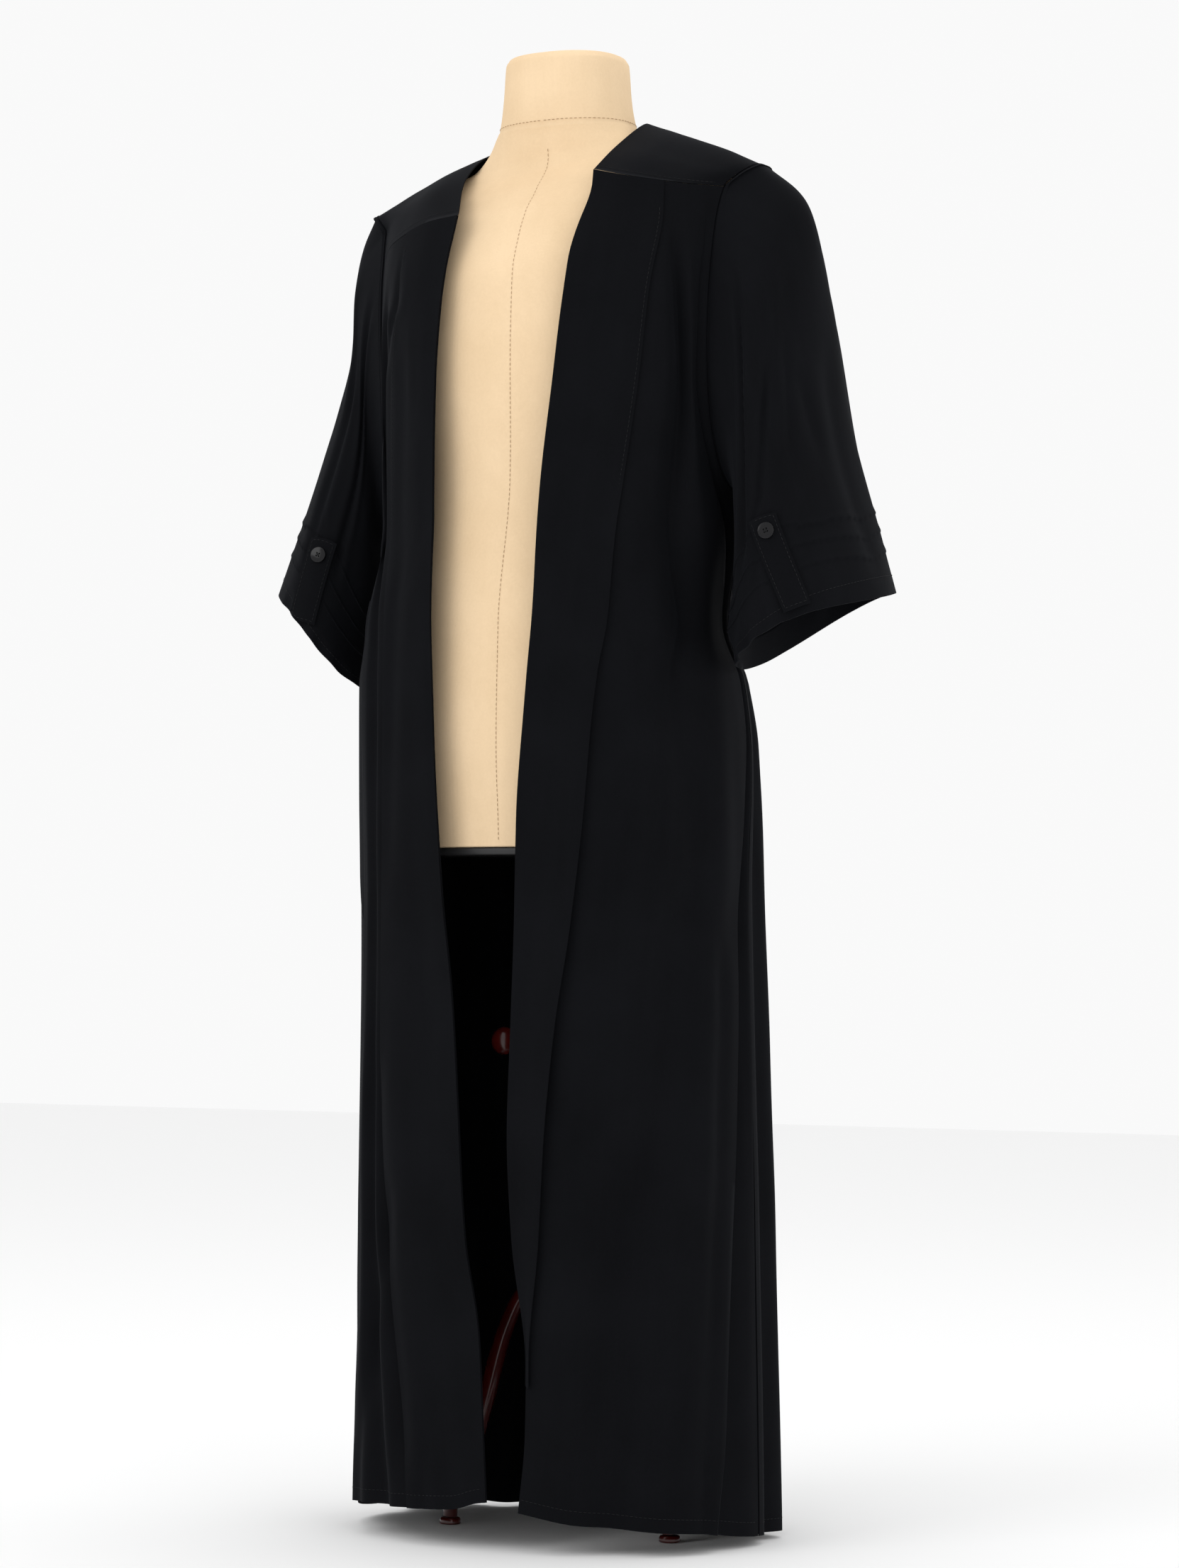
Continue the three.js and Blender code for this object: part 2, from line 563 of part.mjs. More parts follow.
function makeSleeve(side) {
  const grid = sleeveRows().map((v) => sleeveAngles().map((degrees) => {
    const point = sleevePoint(side, degrees, v);
    const share = (degrees - hemPleats.from) / (hemPleats.to - hemPleats.from);
    const inPleats = share >= 0 && share <= 1;
    const wave = inPleats ? Math.sin(Math.PI * share * hemPleats.count) ** 2 * smooth((v - 0.93) / 0.07) : 0;
    const raised = tucks.at.includes(v) ? tucks.height : 0;
    if (v === 0) return point;
    return point.addScaledVector(sleeveNormal(side, degrees, v), raised - hemPleats.depth * wave);
  }));
  return clothGeometry(grid, wall, -side, { ring: true, mitre: (i) => (i === 0 ? 'x' : null) });
}

// Tabs and buttons, on the sleeves' own points
function tabOf(side) {
  return side > 0 ? leftTab : rightTab;
}
// Angle and level on the sleeve of a place on the tab: across is in millimetres, square to the tab's run
function tabPlace(side, share, across) {
  const place = tabOf(side);
  const angleAt = (s) => mix(place.angleTop, place.angleBottom, s);
  const levelAt = (s) => mix(place.top, place.bottom, s);
  const [degrees, v] = [angleAt(share), levelAt(share)];
  const centre = (s) => sleevePoint(side, angleAt(s), levelAt(s));
  const run = centre(share + 0.05).sub(centre(share - 0.05));
  const round = sleevePoint(side, degrees + 1, v).sub(sleevePoint(side, degrees - 1, v)).multiplyScalar(0.5);
  const down = sleevePoint(side, degrees, v).sub(sleevePoint(side, degrees, v - 0.01)).multiplyScalar(100);
  const [perDegree, perLevel] = [down.dot(run), -round.dot(run)];
  const length = round.multiplyScalar(perDegree).addScaledVector(down, perLevel).length() * Math.sign(perDegree);
  return [degrees - across * perDegree / length, Math.min(v - across * perLevel / length, tab.lowest)];
}
function tabGrid(side) {
  const rows = 9;
  const out = lap + tucks.height + tab.thick;
  const grid = [];
  for (let i = 0; i <= rows; i += 1) {
    grid.push([-1, -0.33, 0.33, 1].map((share) => {
      const [degrees, v] = tabPlace(side, i / rows, share * tab.halfWidth);
      return sleevePoint(side, degrees, v).addScaledVector(sleeveNormal(side, degrees, v), out);
    }));
  }
  return grid;
}
function makeButton() {
  const { radius, thick, dish, dishDepth } = button;
  const rim = 1.1;
  const outline = [
    [0, 0], [radius - rim, 0], [radius, thick * 0.45], [radius - 0.4, thick * 0.8], [radius - rim, thick],
    [dish + 0.5, thick - 0.2], [dish, thick - dishDepth], [0, thick - dishDepth],
  ];
  const geometry = new THREE.LatheGeometry(outline.map(([r, h]) => new THREE.Vector2(r, h)), 24);
  return geometry.rotateX(Math.PI / 2);
}
function placeButton(mesh, side) {
  const place = tabOf(side);
  const share = (place.button - place.top) / (place.bottom - place.top);
  const degrees = mix(place.angleTop, place.angleBottom, share);
  const normal = sleeveNormal(side, degrees, place.button);
  const out = lap + tucks.height + tab.thick + button.gap;
  mesh.position.copy(sleevePoint(side, degrees, place.button)).addScaledVector(normal, out);
  mesh.quaternion.setFromUnitVectors(new THREE.Vector3(0, 0, 1), normal);
}

// Pocket edges, lying on the front panels past the drop of each pleat
function makePocket(side) {
  const levels = panelLevels.filter((v) => v >= pocket.from && v <= pocket.to);
  const reach = side > 0 ? pocket.leftReach : pocket.rightReach;
  const grid = levels.map((v, i) => [0, 0.35, 0.7, 1].map((share) => {
    const corner = i === levels.length - 1 ? 0.6 : 1;
    return frontPoint(side, mix(pleatFoot, pleatFoot + reach * corner, share), v, lap + 0.6 + pocket.thick);
  }));
  return clothGeometry(grid, pocket.thick, side);
}

// Dress form: rings up the body, closed below and above
function leaned(point) {
  const weight = smooth((point.z - 1164) / 70) * (1 - smooth((point.z - 1292) / 20));
  return new THREE.Vector3(point.x, point.y, point.z - dropped(point.x) * weight);
}
const formSides = 32;
function makeTorso() {
  const rings = formSections.map(({ z }) => (
    Array.from({ length: formSides }, (_, j) => leaned(sectionPoint(formSections, 360 * j / formSides, z)))));
  const top = formSections[formSections.length - 1].z;
  return closedRings(rings, new THREE.Vector3(0, 0, formSections[0].z), new THREE.Vector3(0, 0, top));
}
function closedRings(rings, low, high) {
  const count = rings[0].length;
  const positions = rings.flat().flatMap((p) => [p.x, p.y, p.z]);
  const base = rings.length * count;
  positions.push(low.x, low.y, low.z, high.x, high.y, high.z);
  const index = [];
  for (let j = 0; j < count; j += 1) {
    const next = (j + 1) % count;
    for (let i = 0; i < rings.length - 1; i += 1) {
      const a = i * count + j;
      const b = i * count + next;
      index.push(a, b, b + count, a, b + count, a + count);
    }
    const last = (rings.length - 1) * count;
    index.push(base, next, j, base + 1, last + j, last + next);
  }
  const geometry = new THREE.BufferGeometry();
  geometry.setAttribute('position', new THREE.Float32BufferAttribute(positions, 3));
  geometry.setIndex(index);
  geometry.computeVertexNormals();
  return geometry;
}
function makeBase() {
  const top = formSections[0].z - 0.3;
  const outline = (z, inset) => Array.from({ length: formSides }, (_, j) => {
    const point = sectionPoint(formSections, 360 * j / formSides, formSections[0].z, -inset);
    return new THREE.Vector3(point.x, point.y, z);
  });
  const { thick, inset } = formBase;
  const rings = [outline(top - thick, inset + 2), outline(top - 2, inset), outline(top, inset)];
  return closedRings(rings, new THREE.Vector3(0, 0, top - thick), new THREE.Vector3(0, 0, top));
}

// Stand: each turned piece is a profile of radius and height round the pole
function turned(profile, sides = 20) {
  const outline = profile.map(([r, z]) => new THREE.Vector2(r, z));
  return new THREE.LatheGeometry(outline, sides).rotateX(Math.PI / 2);
}
function ringProfile(bore, points) {
  const bottom = points[0][1];
  const top = points[points.length - 1][1];
  return [[bore, bottom], ...points, [bore, top], [bore, bottom]];
}
function makeStand() {
  const poleTop = formSections[0].z - 0.3 - formBase.thick - 0.3;
  const { radius, bottom } = pole;
  const edge = [[radius - 3, bottom], [radius, bottom + 3]];
  const poleProfile = [[0, bottom], ...edge, [radius, poleTop], [0, poleTop]];
  add('stand_pole', turned(poleProfile), 'wood');
  const bore = radius + 0.3;
  const hubPoints = [
    [hub.radius - 8, hub.bottom], [hub.radius, hub.bottom + 8], [hub.radius, hub.top - 12],
    [hub.radius - 7, hub.top - 6], [hub.radius - 9, hub.top],
  ];
  add('stand_hub', turned(ringProfile(bore, hubPoints)), 'wood');
  const half = clamp.height / 2;
  const collar = [
    [clamp.radius - 3, clamp.z - half], [clamp.radius, clamp.z - half + 3],
    [clamp.radius, clamp.z + half - 3], [clamp.radius - 3, clamp.z + half],
  ];
  add('clamp_collar', turned(ringProfile(bore, collar)), 'metal');
  makeKnob();
  legs.turns.forEach(makeLeg);
}
function makeKnob() {
  const turn = clamp.angle * toRadians;
  const along = new THREE.Vector3(Math.cos(turn), Math.sin(turn), 0);
  const stemFrom = clamp.radius + 0.3;
  const stemTo = clamp.knobReach - clamp.knobRadius - 0.5;
  const stem = new THREE.CylinderGeometry(clamp.stemRadius, clamp.stemRadius, stemTo - stemFrom, 16);
  const stemMesh = add('clamp_stem', stem, 'metal');
  stemMesh.position.copy(along).multiplyScalar((stemFrom + stemTo) / 2).setZ(clamp.z);
  stemMesh.quaternion.setFromUnitVectors(new THREE.Vector3(0, 1, 0), along);
  const knob = add('clamp_knob', new THREE.SphereGeometry(clamp.knobRadius, 16, 10), 'wood');
  knob.position.copy(along).multiplyScalar(clamp.knobReach).setZ(clamp.z);
}
function makeLeg(degrees, k) {
  const turn = degrees * toRadians;
  const place = ([reach, z]) => new THREE.Vector3(reach * Math.cos(turn), reach * Math.sin(turn), z);
  const path = new THREE.CatmullRomCurve3(legPath.map(place));
  const round = new THREE.Shape();
  for (let j = 0; j < legs.sides; j += 1) {
    const a = 2 * Math.PI * j / legs.sides;
    const x = legs.radius * Math.cos(a);
    const y = legs.radius * 0.8 * Math.sin(a);
    if (j === 0) round.moveTo(x, y);
    else round.lineTo(x, y);
  }
  round.closePath();
  const leg = new THREE.ExtrudeGeometry(round, { steps: legs.steps, bevelEnabled: false, extrudePath: path });
  add(`stand_leg_${k + 1}`, leg, 'wood');
  const { radius, height } = foot;
  const pad = turned([[0, 0], [radius, 0], [radius, height - 2], [radius - 2, height], [0, height]], 16);
  const mesh = add(`stand_foot_${k + 1}`, pad, 'wood');
  mesh.position.set(foot.reach * Math.cos(turn), foot.reach * Math.sin(turn), 0);
}

add('yoke', makeYoke(), 'cloth');
add('back', makeBack(), 'cloth');
for (const [label, side] of [['left', 1], ['right', -1]]) {
  add(`front_${label}`, makeFront(side), 'cloth');
  add(`front_band_${label}`, makeBand(side), 'cloth');
  add(`pocket_${label}`, makePocket(side), 'cloth');
  add(`sleeve_${label}`, makeSleeve(side), 'cloth');
  add(`tab_${label}`, clothGeometry(tabGrid(side), tab.thick, side), 'cloth');
  placeButton(add(`button_${label}`, makeButton(), 'button'), side);
}
add('form_torso', makeTorso(), 'form');
add('form_base', makeBase(), 'metal');
makeStand();

export default gown;
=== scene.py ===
import bpy
import math
import numpy as np
from mathutils import Matrix, Vector, noise


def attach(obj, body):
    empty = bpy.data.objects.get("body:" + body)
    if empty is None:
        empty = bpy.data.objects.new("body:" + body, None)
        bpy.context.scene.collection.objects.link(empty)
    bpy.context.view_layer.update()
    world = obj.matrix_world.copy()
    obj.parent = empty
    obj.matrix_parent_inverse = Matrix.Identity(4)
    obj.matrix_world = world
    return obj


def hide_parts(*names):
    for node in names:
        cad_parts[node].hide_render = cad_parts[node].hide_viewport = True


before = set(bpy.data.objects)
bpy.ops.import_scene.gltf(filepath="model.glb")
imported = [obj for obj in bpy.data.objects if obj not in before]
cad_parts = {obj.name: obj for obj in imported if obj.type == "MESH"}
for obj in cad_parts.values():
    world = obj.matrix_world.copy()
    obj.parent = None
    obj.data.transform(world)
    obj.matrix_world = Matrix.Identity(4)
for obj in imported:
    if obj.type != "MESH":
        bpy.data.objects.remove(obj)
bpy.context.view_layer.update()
bpy.ops.object.select_all(action="DESELECT")
print("frame loaded")

# The gown's form is worked out in millimetres, as in the CAD, and each mesh is made in metres.
# x runs to the wearer's left, y to the back, z up from the floor

# Camera at the photograph's angle: level, off to the wearer's left, with a small shift for its framing
view = {"azimuth": 30, "distance": 4.0, "height": 0.579, "lens": 97.65, "shiftX": 0.0142, "shiftY": 0.0832}


def addCamera():
    data = bpy.data.cameras.new("camera")
    data.sensor_fit = "VERTICAL"
    data.sensor_height = 36
    data.lens = view["lens"]
    data.shift_x = view["shiftX"]
    data.shift_y = view["shiftY"]
    camera = bpy.data.objects.new("camera", data)
    bpy.context.scene.collection.objects.link(camera)
    turn = math.radians(view["azimuth"])
    camera.location = (view["distance"] * math.sin(turn), -view["distance"] * math.cos(turn), view["height"])
    camera.rotation_euler = (math.radians(90), 0, turn)
    bpy.context.scene.camera = camera


addCamera()

# Cut and hang of the gown
gown = {
    "wall": 1.2,          # thickness of a piece that shows
    "seam": 0.5,          # gap left where two pieces meet
    "sideGap": 0.9,       # half the gap at a side seam
    "roundness": 2.3,     # exponent of the superellipse of every plan section
    "rightDrop": 14,      # the right shoulder hangs this much lower
    "neckHalf": 80,
    "topBlend": 90,       # a panel takes its own section this far below the yoke
    "bandLift": 1.7,      # a front pleat lies this far off its panel
    "leftBandEnd": 0.905,
    "bandFade": 1.2,
    "meanRadius": 165,    # turns degrees round the body into millimetres
}
bodySections = {
    "z": [0, 294, 454, 594, 734, 794, 844, 950, 994, 1094, 1174, 1244, 1256, 1267],
    "half": [208, 204, 200, 197, 196, 193, 181, 179, 179, 182, 185, 186, 195, 204],
    "front": [150, 148, 145, 142, 139, 137, 136, 134, 134, 132, 125, 106, 104, 102],
    "back": [147, 146.5, 146, 145, 138, 124, 115, 113, 113, 117, 118, 108, 106, 104],
    "shift": [-7, -9, -11, -13, -15, -18, -22, 0, 0, 0, 0, 0, 0, 0],
}
sideSeam = {"z": [0, 594, 734, 844, 966], "y": [4, 16, 32, 30, 4]}
hemLine = {
    "angle": [-180, -95, -48, -23, -6, 2, 8, 30, 63, 95, 180],
    "z": [2, 9, 29, 32, 35, 44, 37, 26, 19, 8, 2],
}
leftLines = {
    "z": [0, 107, 171, 283, 388, 478, 567, 669, 764, 864, 969, 1074, 1144, 1209, 1244],
    "edge": [32, 41, 42, 28, 22, 24, 26, 27, 33, 40, 48, 60, 67, 73, 77],
    "band": [44, 46, 46, 55, 60, 68, 80, 90, 96, 105, 120, 133, 139, 145, 143],
    "valley": [118, 122, 127, 139, 153, 162, 164, 168, 158, 153, 158, 163, 160, 153, 148],
    "pleat": [-60, -48, -43, -33, -21, -14, -9, 10, 21, 12, -35, -59, -58, -48, -44],
}
rightLines = {
    "z": [0, 110, 196, 283, 408, 510, 606, 729, 864, 969, 1074, 1144, 1209, 1244],
    "edge": [-3, 2, 7, 22, 31, 39, 52, 62, 68, 69, 68, 64, 58, 56],
    "band": [84, 90, 101, 112, 123, 125, 126, 127, 129, 130, 129, 122, 119, 119],
    "valley": [122, 130, 134, 138, 141, 141, 141, 142, 146, 148, 150, 148, 144, 142],
    "pleat": [-101, -105, -107, -108, -107, -106, -105, -100, -95, -88, -80, -73, -57, -49],
}
leftRelief = {
    "z": [0, 244, 474, 694, 864, 1084, 1244],
    "crest": [5, 4, 2, 1, 2, 2, 0],
    "valley": [8, 7, 4, 4, 9, 9, 0],
    "shoulder": [5, 4, 3, 2, 2, 2, 0],
    "recess": [12, 12, 11, 10, 6, 5, 0],
}
rightRelief = {
    "z": [0, 244, 594, 894, 1084, 1209, 1244],
    "crest": [3, 3, 1, 1, 1, 0, 0],
    "valley": [8, 7, 3, 5, 6, 0, 0],
    "shoulder": [3, 3, 1, 1, 1, 0, 0],
    "recess": [11, 11, 9, 6, 5, 0, 0],
}
bandStandoff = {
    "z": [0, 194, 394, 614, 894, 1024, 1244],
    "left": [1, 3, 6, 5, 1.5, 0, 0],
    "right": [2, 4, 3, 1, 0.5, 0, 0],
}
pleatFoot = 3.14          # the drop past a pleat ends here

# The yoke from the front seam over the shoulder to the centre back
yokeRows = [
    {"neck": (79, -88, 1260), "near": (112, -86, 1252), "far": (155, -63, 1245), "onArmhole": 32},
    {"neck": (80, -50, 1286), "near": (115, -54, 1278), "far": (158, -39, 1265), "onArmhole": 20},
    {"neck": (82, 5, 1316), "near": (118, 4, 1303), "far": (160, 3, 1287), "onArmhole": 0},
    {"neck": (63, 52, 1314), "near": (101, 61, 1289), "far": (147, 56, 1266), "onArmhole": -26},
    {"neck": (40, 70, 1312), "near": (84, 86, 1279), "far": (131, 79, 1243), "onArmhole": -54},
    {"neck": (20, 77, 1310), "near": (50, 98, 1282), "far": (82, 106, 1244), "outer": (108, 100, 1198)},
    {"neck": (0, 79, 1309), "near": (0, 101, 1282), "far": (0, 115, 1242), "outer": (0, 120, 1195)},
]
rightFrontRow = {"neck": (57, -104, 1240), "near": (92, -102, 1237), "far": (142, -80, 1225), "onArmhole": 48}
armhole = {"midZ": 1118, "halfZ": 149, "midY": 4, "halfY": 52, "fullness": 0.7, "sleeveOff": 2.0}
sleeveRows = [
    {"at": 0.15, "outer": (246, 6, 1230), "inner": (189, 10, 950),
     "front": (204, -57, 1082), "rear": (200, 66, 1098), "turn": (-18, -8, 6, 19)},
    {"at": 0.40, "outer": (262, 14, 1144), "inner": (188, 16, 899),
     "front": (224, -66, 1006), "rear": (220, 88, 1026), "turn": (-26, -20, 17, 20)},
    {"at": 0.70, "outer": (279, 20, 1009), "inner": (183, 20, 852),
     "front": (238, -74, 919), "rear": (234, 106, 944), "turn": (-12, -8, 29, 12)},
    {"at": 1.00, "outer": (317, 28, 868), "inner": (180, 22, 806),
     "front": (254, -76, 836), "rear": (246, 120, 866), "turn": (0, 0, 36, 0)},
]
rightHemRise = {"outer": 47, "inner": 4, "front": 10}


def smooth(x):
    x = np.clip(x, 0, 1)
    return x * x * (3 - 2 * x)


def mix(a, b, share):
    return a + (b - a) * share


def unit(vectors):
    return vectors / np.linalg.norm(vectors, axis=-1, keepdims=True)


def along(table, column, value, by="z"):
    # a column of a table on a smooth curve through its rows
    xs = np.array(table[by], float)
    ys = np.array(table[column], float)
    value = np.clip(np.asarray(value, float), xs[0], xs[-1])
    k = np.clip(np.searchsorted(xs, value, side="right") - 1, 0, len(xs) - 2)
    steps = np.diff(ys) / np.diff(xs)
    before, after = steps[:-1], steps[1:]
    total = np.where(before + after == 0, 1, before + after)
    slope = np.zeros(len(xs))
    slope[1:-1] = np.where(before * after > 0, 2 * before * after / total, 0)
    span = xs[k + 1] - xs[k]
    f = (value - xs[k]) / span
    bend = span * f * (1 - f) * ((1 - f) * slope[k] - f * slope[k + 1])
    return mix(ys[k], ys[k + 1], f * f * (3 - 2 * f)) + bend


def sectionPoint(sections, degrees, z, lift=0.0):
    # a point on a plan section at an angle from the centre front, moved out along its normal
    n = gown["roundness"]
    turn = np.radians(degrees)
    s, c = np.sin(turn), np.cos(turn)
    a = along(sections, "half", z)
    b = np.where(c > 0, along(sections, "front", z), along(sections, "back", z))
    x = a * np.sign(s) * np.abs(s) ** (2 / n)
    y = -b * np.sign(c) * np.abs(c) ** (2 / n)
    nx = np.sign(x) * np.abs(x / a) ** (n - 1) / a
    ny = np.sign(y) * np.abs(y / b) ** (n - 1) / b
    size = np.hypot(nx, ny)
    shift = along(sections, "shift", z)
    return np.stack(np.broadcast_arrays(x + shift + lift * nx / size, y + lift * ny / size, z), -1)


def angleAcross(x, z):
    reach = x - along(bodySections, "shift", z)
    share = np.minimum(1, np.abs(reach) / along(bodySections, "half", z))
    return np.sign(reach) * np.degrees(np.arcsin(share ** (gown["roundness"] / 2)))


def angleDeep(y, z):
    depth = np.where(y < 0, along(bodySections, "front", z), along(bodySections, "back", z))
    fromSide = np.degrees(np.arcsin(np.minimum(1, np.abs(y) / depth) ** (gown["roundness"] / 2)))
    return np.where(y < 0, 90 - fromSide, 90 + fromSide)


def throughPoints(points, share):
    # a smooth curve through points, spaced by the root of their distances; share runs from 0 to 1
    points = np.asarray(points, float)
    last = len(points) - 1
    at = min(max(share, 0), 1) * last
    k = min(int(at), last - 1)
    f = at - k
    p1, p2 = points[k], points[k + 1]
    p0 = points[k - 1] if k > 0 else 2 * points[0] - points[1]
    p3 = points[k + 2] if k + 2 <= last else 2 * points[last] - points[last - 1]
    d0, d1, d2 = (np.maximum(1e-4, np.sqrt(np.linalg.norm(b - a, axis=-1, keepdims=True)))
                  for a, b in ((p0, p1), (p1, p2), (p2, p3)))
    m1 = ((p1 - p0) / d0 - (p2 - p0) / (d0 + d1) + (p2 - p1) / d1) * d1
    m2 = ((p2 - p1) / d1 - (p3 - p1) / (d1 + d2) + (p3 - p2) / d2) * d1
    return (p1 + m1 * f + (3 * (p2 - p1) - 2 * m1 - m2) * f ** 2 + (2 * (p1 - p2) + m1 + m2) * f ** 3)


def armholePoint(side, degrees, off=None):
    off = armhole["sleeveOff"] if off is None else off
    s, c = np.sin(np.radians(degrees)), np.cos(np.radians(degrees))
    z = armhole["midZ"] + armhole["halfZ"] * c
    y = armhole["midY"] - armhole["halfY"] * np.sign(s) * np.abs(s) ** armhole["fullness"]
    depth = np.where(y < 0, along(bodySections, "front", z), along(bodySections, "back", z))
    n = gown["roundness"]
    x = along(bodySections, "half", z) * (1 - (np.abs(y) / depth) ** n) ** (1 / n)
    return np.stack(np.broadcast_arrays(side * (x + off), y, z - (gown["rightDrop"] if side < 0 else 0)), -1)


def dropped(x):
    return gown["rightDrop"] * smooth((gown["neckHalf"] - x) / (2 * gown["neckHalf"]))


yokeBackFrom = 4 / 12     # where on the way round the back seam starts


def yokeCurve(key):
    points = []
    for side, rows in ((1, yokeRows), (-1, [*yokeRows[-2:0:-1], rightFrontRow])):
        for row in rows:
            if key == "outer" and "outer" not in row:
                points.append(armholePoint(side, row["onArmhole"], 0))
            else:
                x, y, z = row[key]
                points.append((side * x, y, z - dropped(side * x)))
    return points


yokeCurves = {key: yokeCurve(key) for key in ("neck", "near", "far", "outer")}


def yokeOuter(u):
    if yokeBackFrom <= u <= 1 - yokeBackFrom:
        return throughPoints(yokeCurves["outer"], u)
    side = 1 if u < 0.5 else -1
    angles = [row["onArmhole"] for row in yokeRows[:5]]
    if side < 0:
        angles[0] = rightFrontRow["onArmhole"]
    at = 4 * min(u, 1 - u) / yokeBackFrom
    k = min(3, int(at))
    return armholePoint(side, mix(angles[k], angles[k + 1], at - k), 0)


def yokePoint(u, r):
    across = [throughPoints(yokeCurves[key], u) for key in ("neck", "near", "far")]
    return throughPoints([*across, yokeOuter(u)], r)


def sideAt(side, z, behind):
    level = z + (gown["rightDrop"] if side < 0 else 0)
    share = (level - armhole["midZ"]) / armhole["halfZ"]
    half = armhole["halfY"] * np.maximum(0, 1 - share * share) ** (armhole["fullness"] / 2)
    reach = half + np.where(half > 0, gown["seam"], gown["sideGap"])
    middle = along(sideSeam, "y", z) if side > 0 else armhole["midY"]
    return angleDeep(middle + (reach if behind else -reach), z)


def frontAngle(side, t, z):
    lines = leftLines if side > 0 else rightLines
    stops = [side * angleAcross(side * along(lines, name, z), z) for name in ("edge", "band", "valley")]
    stops += [angleDeep(along(lines, "pleat", z), z), sideAt(side, z, False)]
    stops = np.stack(np.broadcast_arrays(*stops, t + 0 * z)[:5])
    k = np.broadcast_to(np.minimum(3, np.floor(t)).astype(int), stops.shape[1:])
    low = np.take_along_axis(stops, k[None], 0)[0]
    high = np.take_along_axis(stops, k[None] + 1, 0)[0]
    return mix(low, high, t - k)


def frontRelief(side, t, z):
    rows = leftRelief if side > 0 else rightRelief
    t = np.broadcast_to(t, np.broadcast(t, z).shape)
    knots = [(0, 0), (1, 0), (1.5, along(rows, "crest", z)), (2, -along(rows, "valley", z)),
             (2.55, along(rows, "shoulder", z)), (3, 0), (pleatFoot, -along(rows, "recess", z)), (4, 0)]
    out = np.zeros(t.shape)
    for (a, low), (b, high) in zip(knots, knots[1:]):
        value = mix(low, high, smooth((t - a) / (b - a)))
        out = np.where((t > a) & (t <= b), value, out)
    return out


seamShares = np.linspace(0, 1, 121)
frontSeams = {side: np.array([yokePoint(u, r) for r in seamShares]) for side, u in ((1, 0), (-1, 1))}
backShares = np.linspace(yokeBackFrom, 1 - yokeBackFrom, 241)
backSeam = np.array([yokeOuter(u) for u in backShares])


def onSeam(seam, x):
    order = np.argsort(seam[:, 0])
    return np.stack([np.interp(x, seam[order, 0], seam[order, k]) for k in range(3)], -1)


def frontTop(side, t):
    lines = leftLines if side > 0 else rightLines
    seam = frontSeams[side]
    marks = [seam[0, 0], side * along(lines, "band", 1240), side * along(lines, "valley", 1240)]
    marks += [mix(marks[2], seam[-1, 0], 0.7), seam[-1, 0]]
    return onSeam(seam, np.interp(t, range(5), marks))

# Folds that the cloth takes as it hangs. Each runs down a panel: x or y is its place at a height,
# depth how far it goes in, width how broad it is; both are in millimetres
leftFolds = [
    {"z": [760, 860, 969, 1074, 1144, 1209, 1240], "x": [157, 153, 158, 163, 160, 152, 147],
     "depth": 3.0, "width": 8},
    {"z": [612, 660, 707, 760], "x": [150, 149, 147, 149], "depth": 1.5, "width": 5},
    {"z": [160, 237, 332, 421, 489, 556, 612, 682, 796], "x": [127, 132, 146, 157, 162, 161, 172, 169, 156],
     "depth": 2.6, "width": 16},
    {"z": [24, 90, 160, 260], "x": [96, 99, 104, 108], "depth": 2.6, "width": 20},
    {"z": [30, 120, 230, 330], "x": [152, 150, 156, 160], "depth": -2.4, "width": 16},
    {"z": [90, 230, 380, 520], "x": [80, 92, 108, 118], "depth": 1.4, "width": 18},
    {"z": [560, 700, 850, 990], "x": [118, 122, 130, 142], "depth": 1.6, "width": 15},
    {"z": [760, 860, 960, 1090], "x": [80, 86, 96, 112], "depth": 0.9, "width": 16},
    {"z": [300, 420, 560, 720], "x": [40, 42, 52, 60], "depth": 0.8, "width": 14},
    {"z": [20, 120, 260, 420, 560], "y": [-70, -66, -56, -44, -38], "depth": 2.8, "width": 9},
]
rightFolds = [
    {"z": [60, 110, 158, 196, 254, 310, 375, 450], "x": [88, 90, 94, 101, 107, 116, 124, 128],
     "depth": 3.0, "width": 10},
    {"z": [40, 79, 180, 283, 340], "x": [160, 157, 136, 114, 108], "depth": 2.4, "width": 9},
    {"z": [1090, 1120, 1154, 1177, 1204], "x": [140, 137, 122, 123, 122], "depth": 2.6, "width": 6},
    {"z": [600, 760, 900, 1040, 1120], "x": [118, 116, 112, 110, 112], "depth": 1.5, "width": 10},
    {"z": [300, 450, 600, 760], "x": [70, 78, 84, 92], "depth": 0.9, "width": 16},
    {"z": [20, 60, 120, 200], "x": [40, 44, 52, 60], "depth": 1.6, "width": 9},
    {"z": [20, 50, 90, 130], "x": [62, 66, 62, 68], "depth": 1.4, "width": 6},
    {"z": [100, 260, 420, 600], "y": [-88, -92, -94, -92], "depth": 3.0, "width": 10},
    {"z": [650, 760, 900, 1010], "y": [-62, -66, -70, -72], "depth": 2.0, "width": 8},
]
backFolds = [
    {"z": [40, 300, 600, 860], "angle": [128, 130, 134, 138], "depth": 2.4, "width": 12},
    {"z": [10, 260, 520, 740], "angle": [214, 212, 208, 206], "depth": 2.2, "width": 11},
    {"z": [500, 700, 900, 1080], "angle": [166, 168, 170, 172], "depth": 1.8, "width": 10},
    {"z": [60, 300, 560, 800], "angle": [184, 186, 184, 188], "depth": 2.0, "width": 14},
    {"z": [700, 840, 980, 1100], "angle": [225, 222, 218, 214], "depth": 2.0, "width": 10},
    {"z": [640, 760, 900, 1060], "angle": [146, 148, 150, 152], "depth": 1.6, "width": 9},
    {"z": [20, 200, 400], "angle": [150, 152, 150], "depth": -2.4, "width": 13},
    {"z": [20, 220, 460], "angle": [236, 238, 242], "depth": 2.4, "width": 12},
]
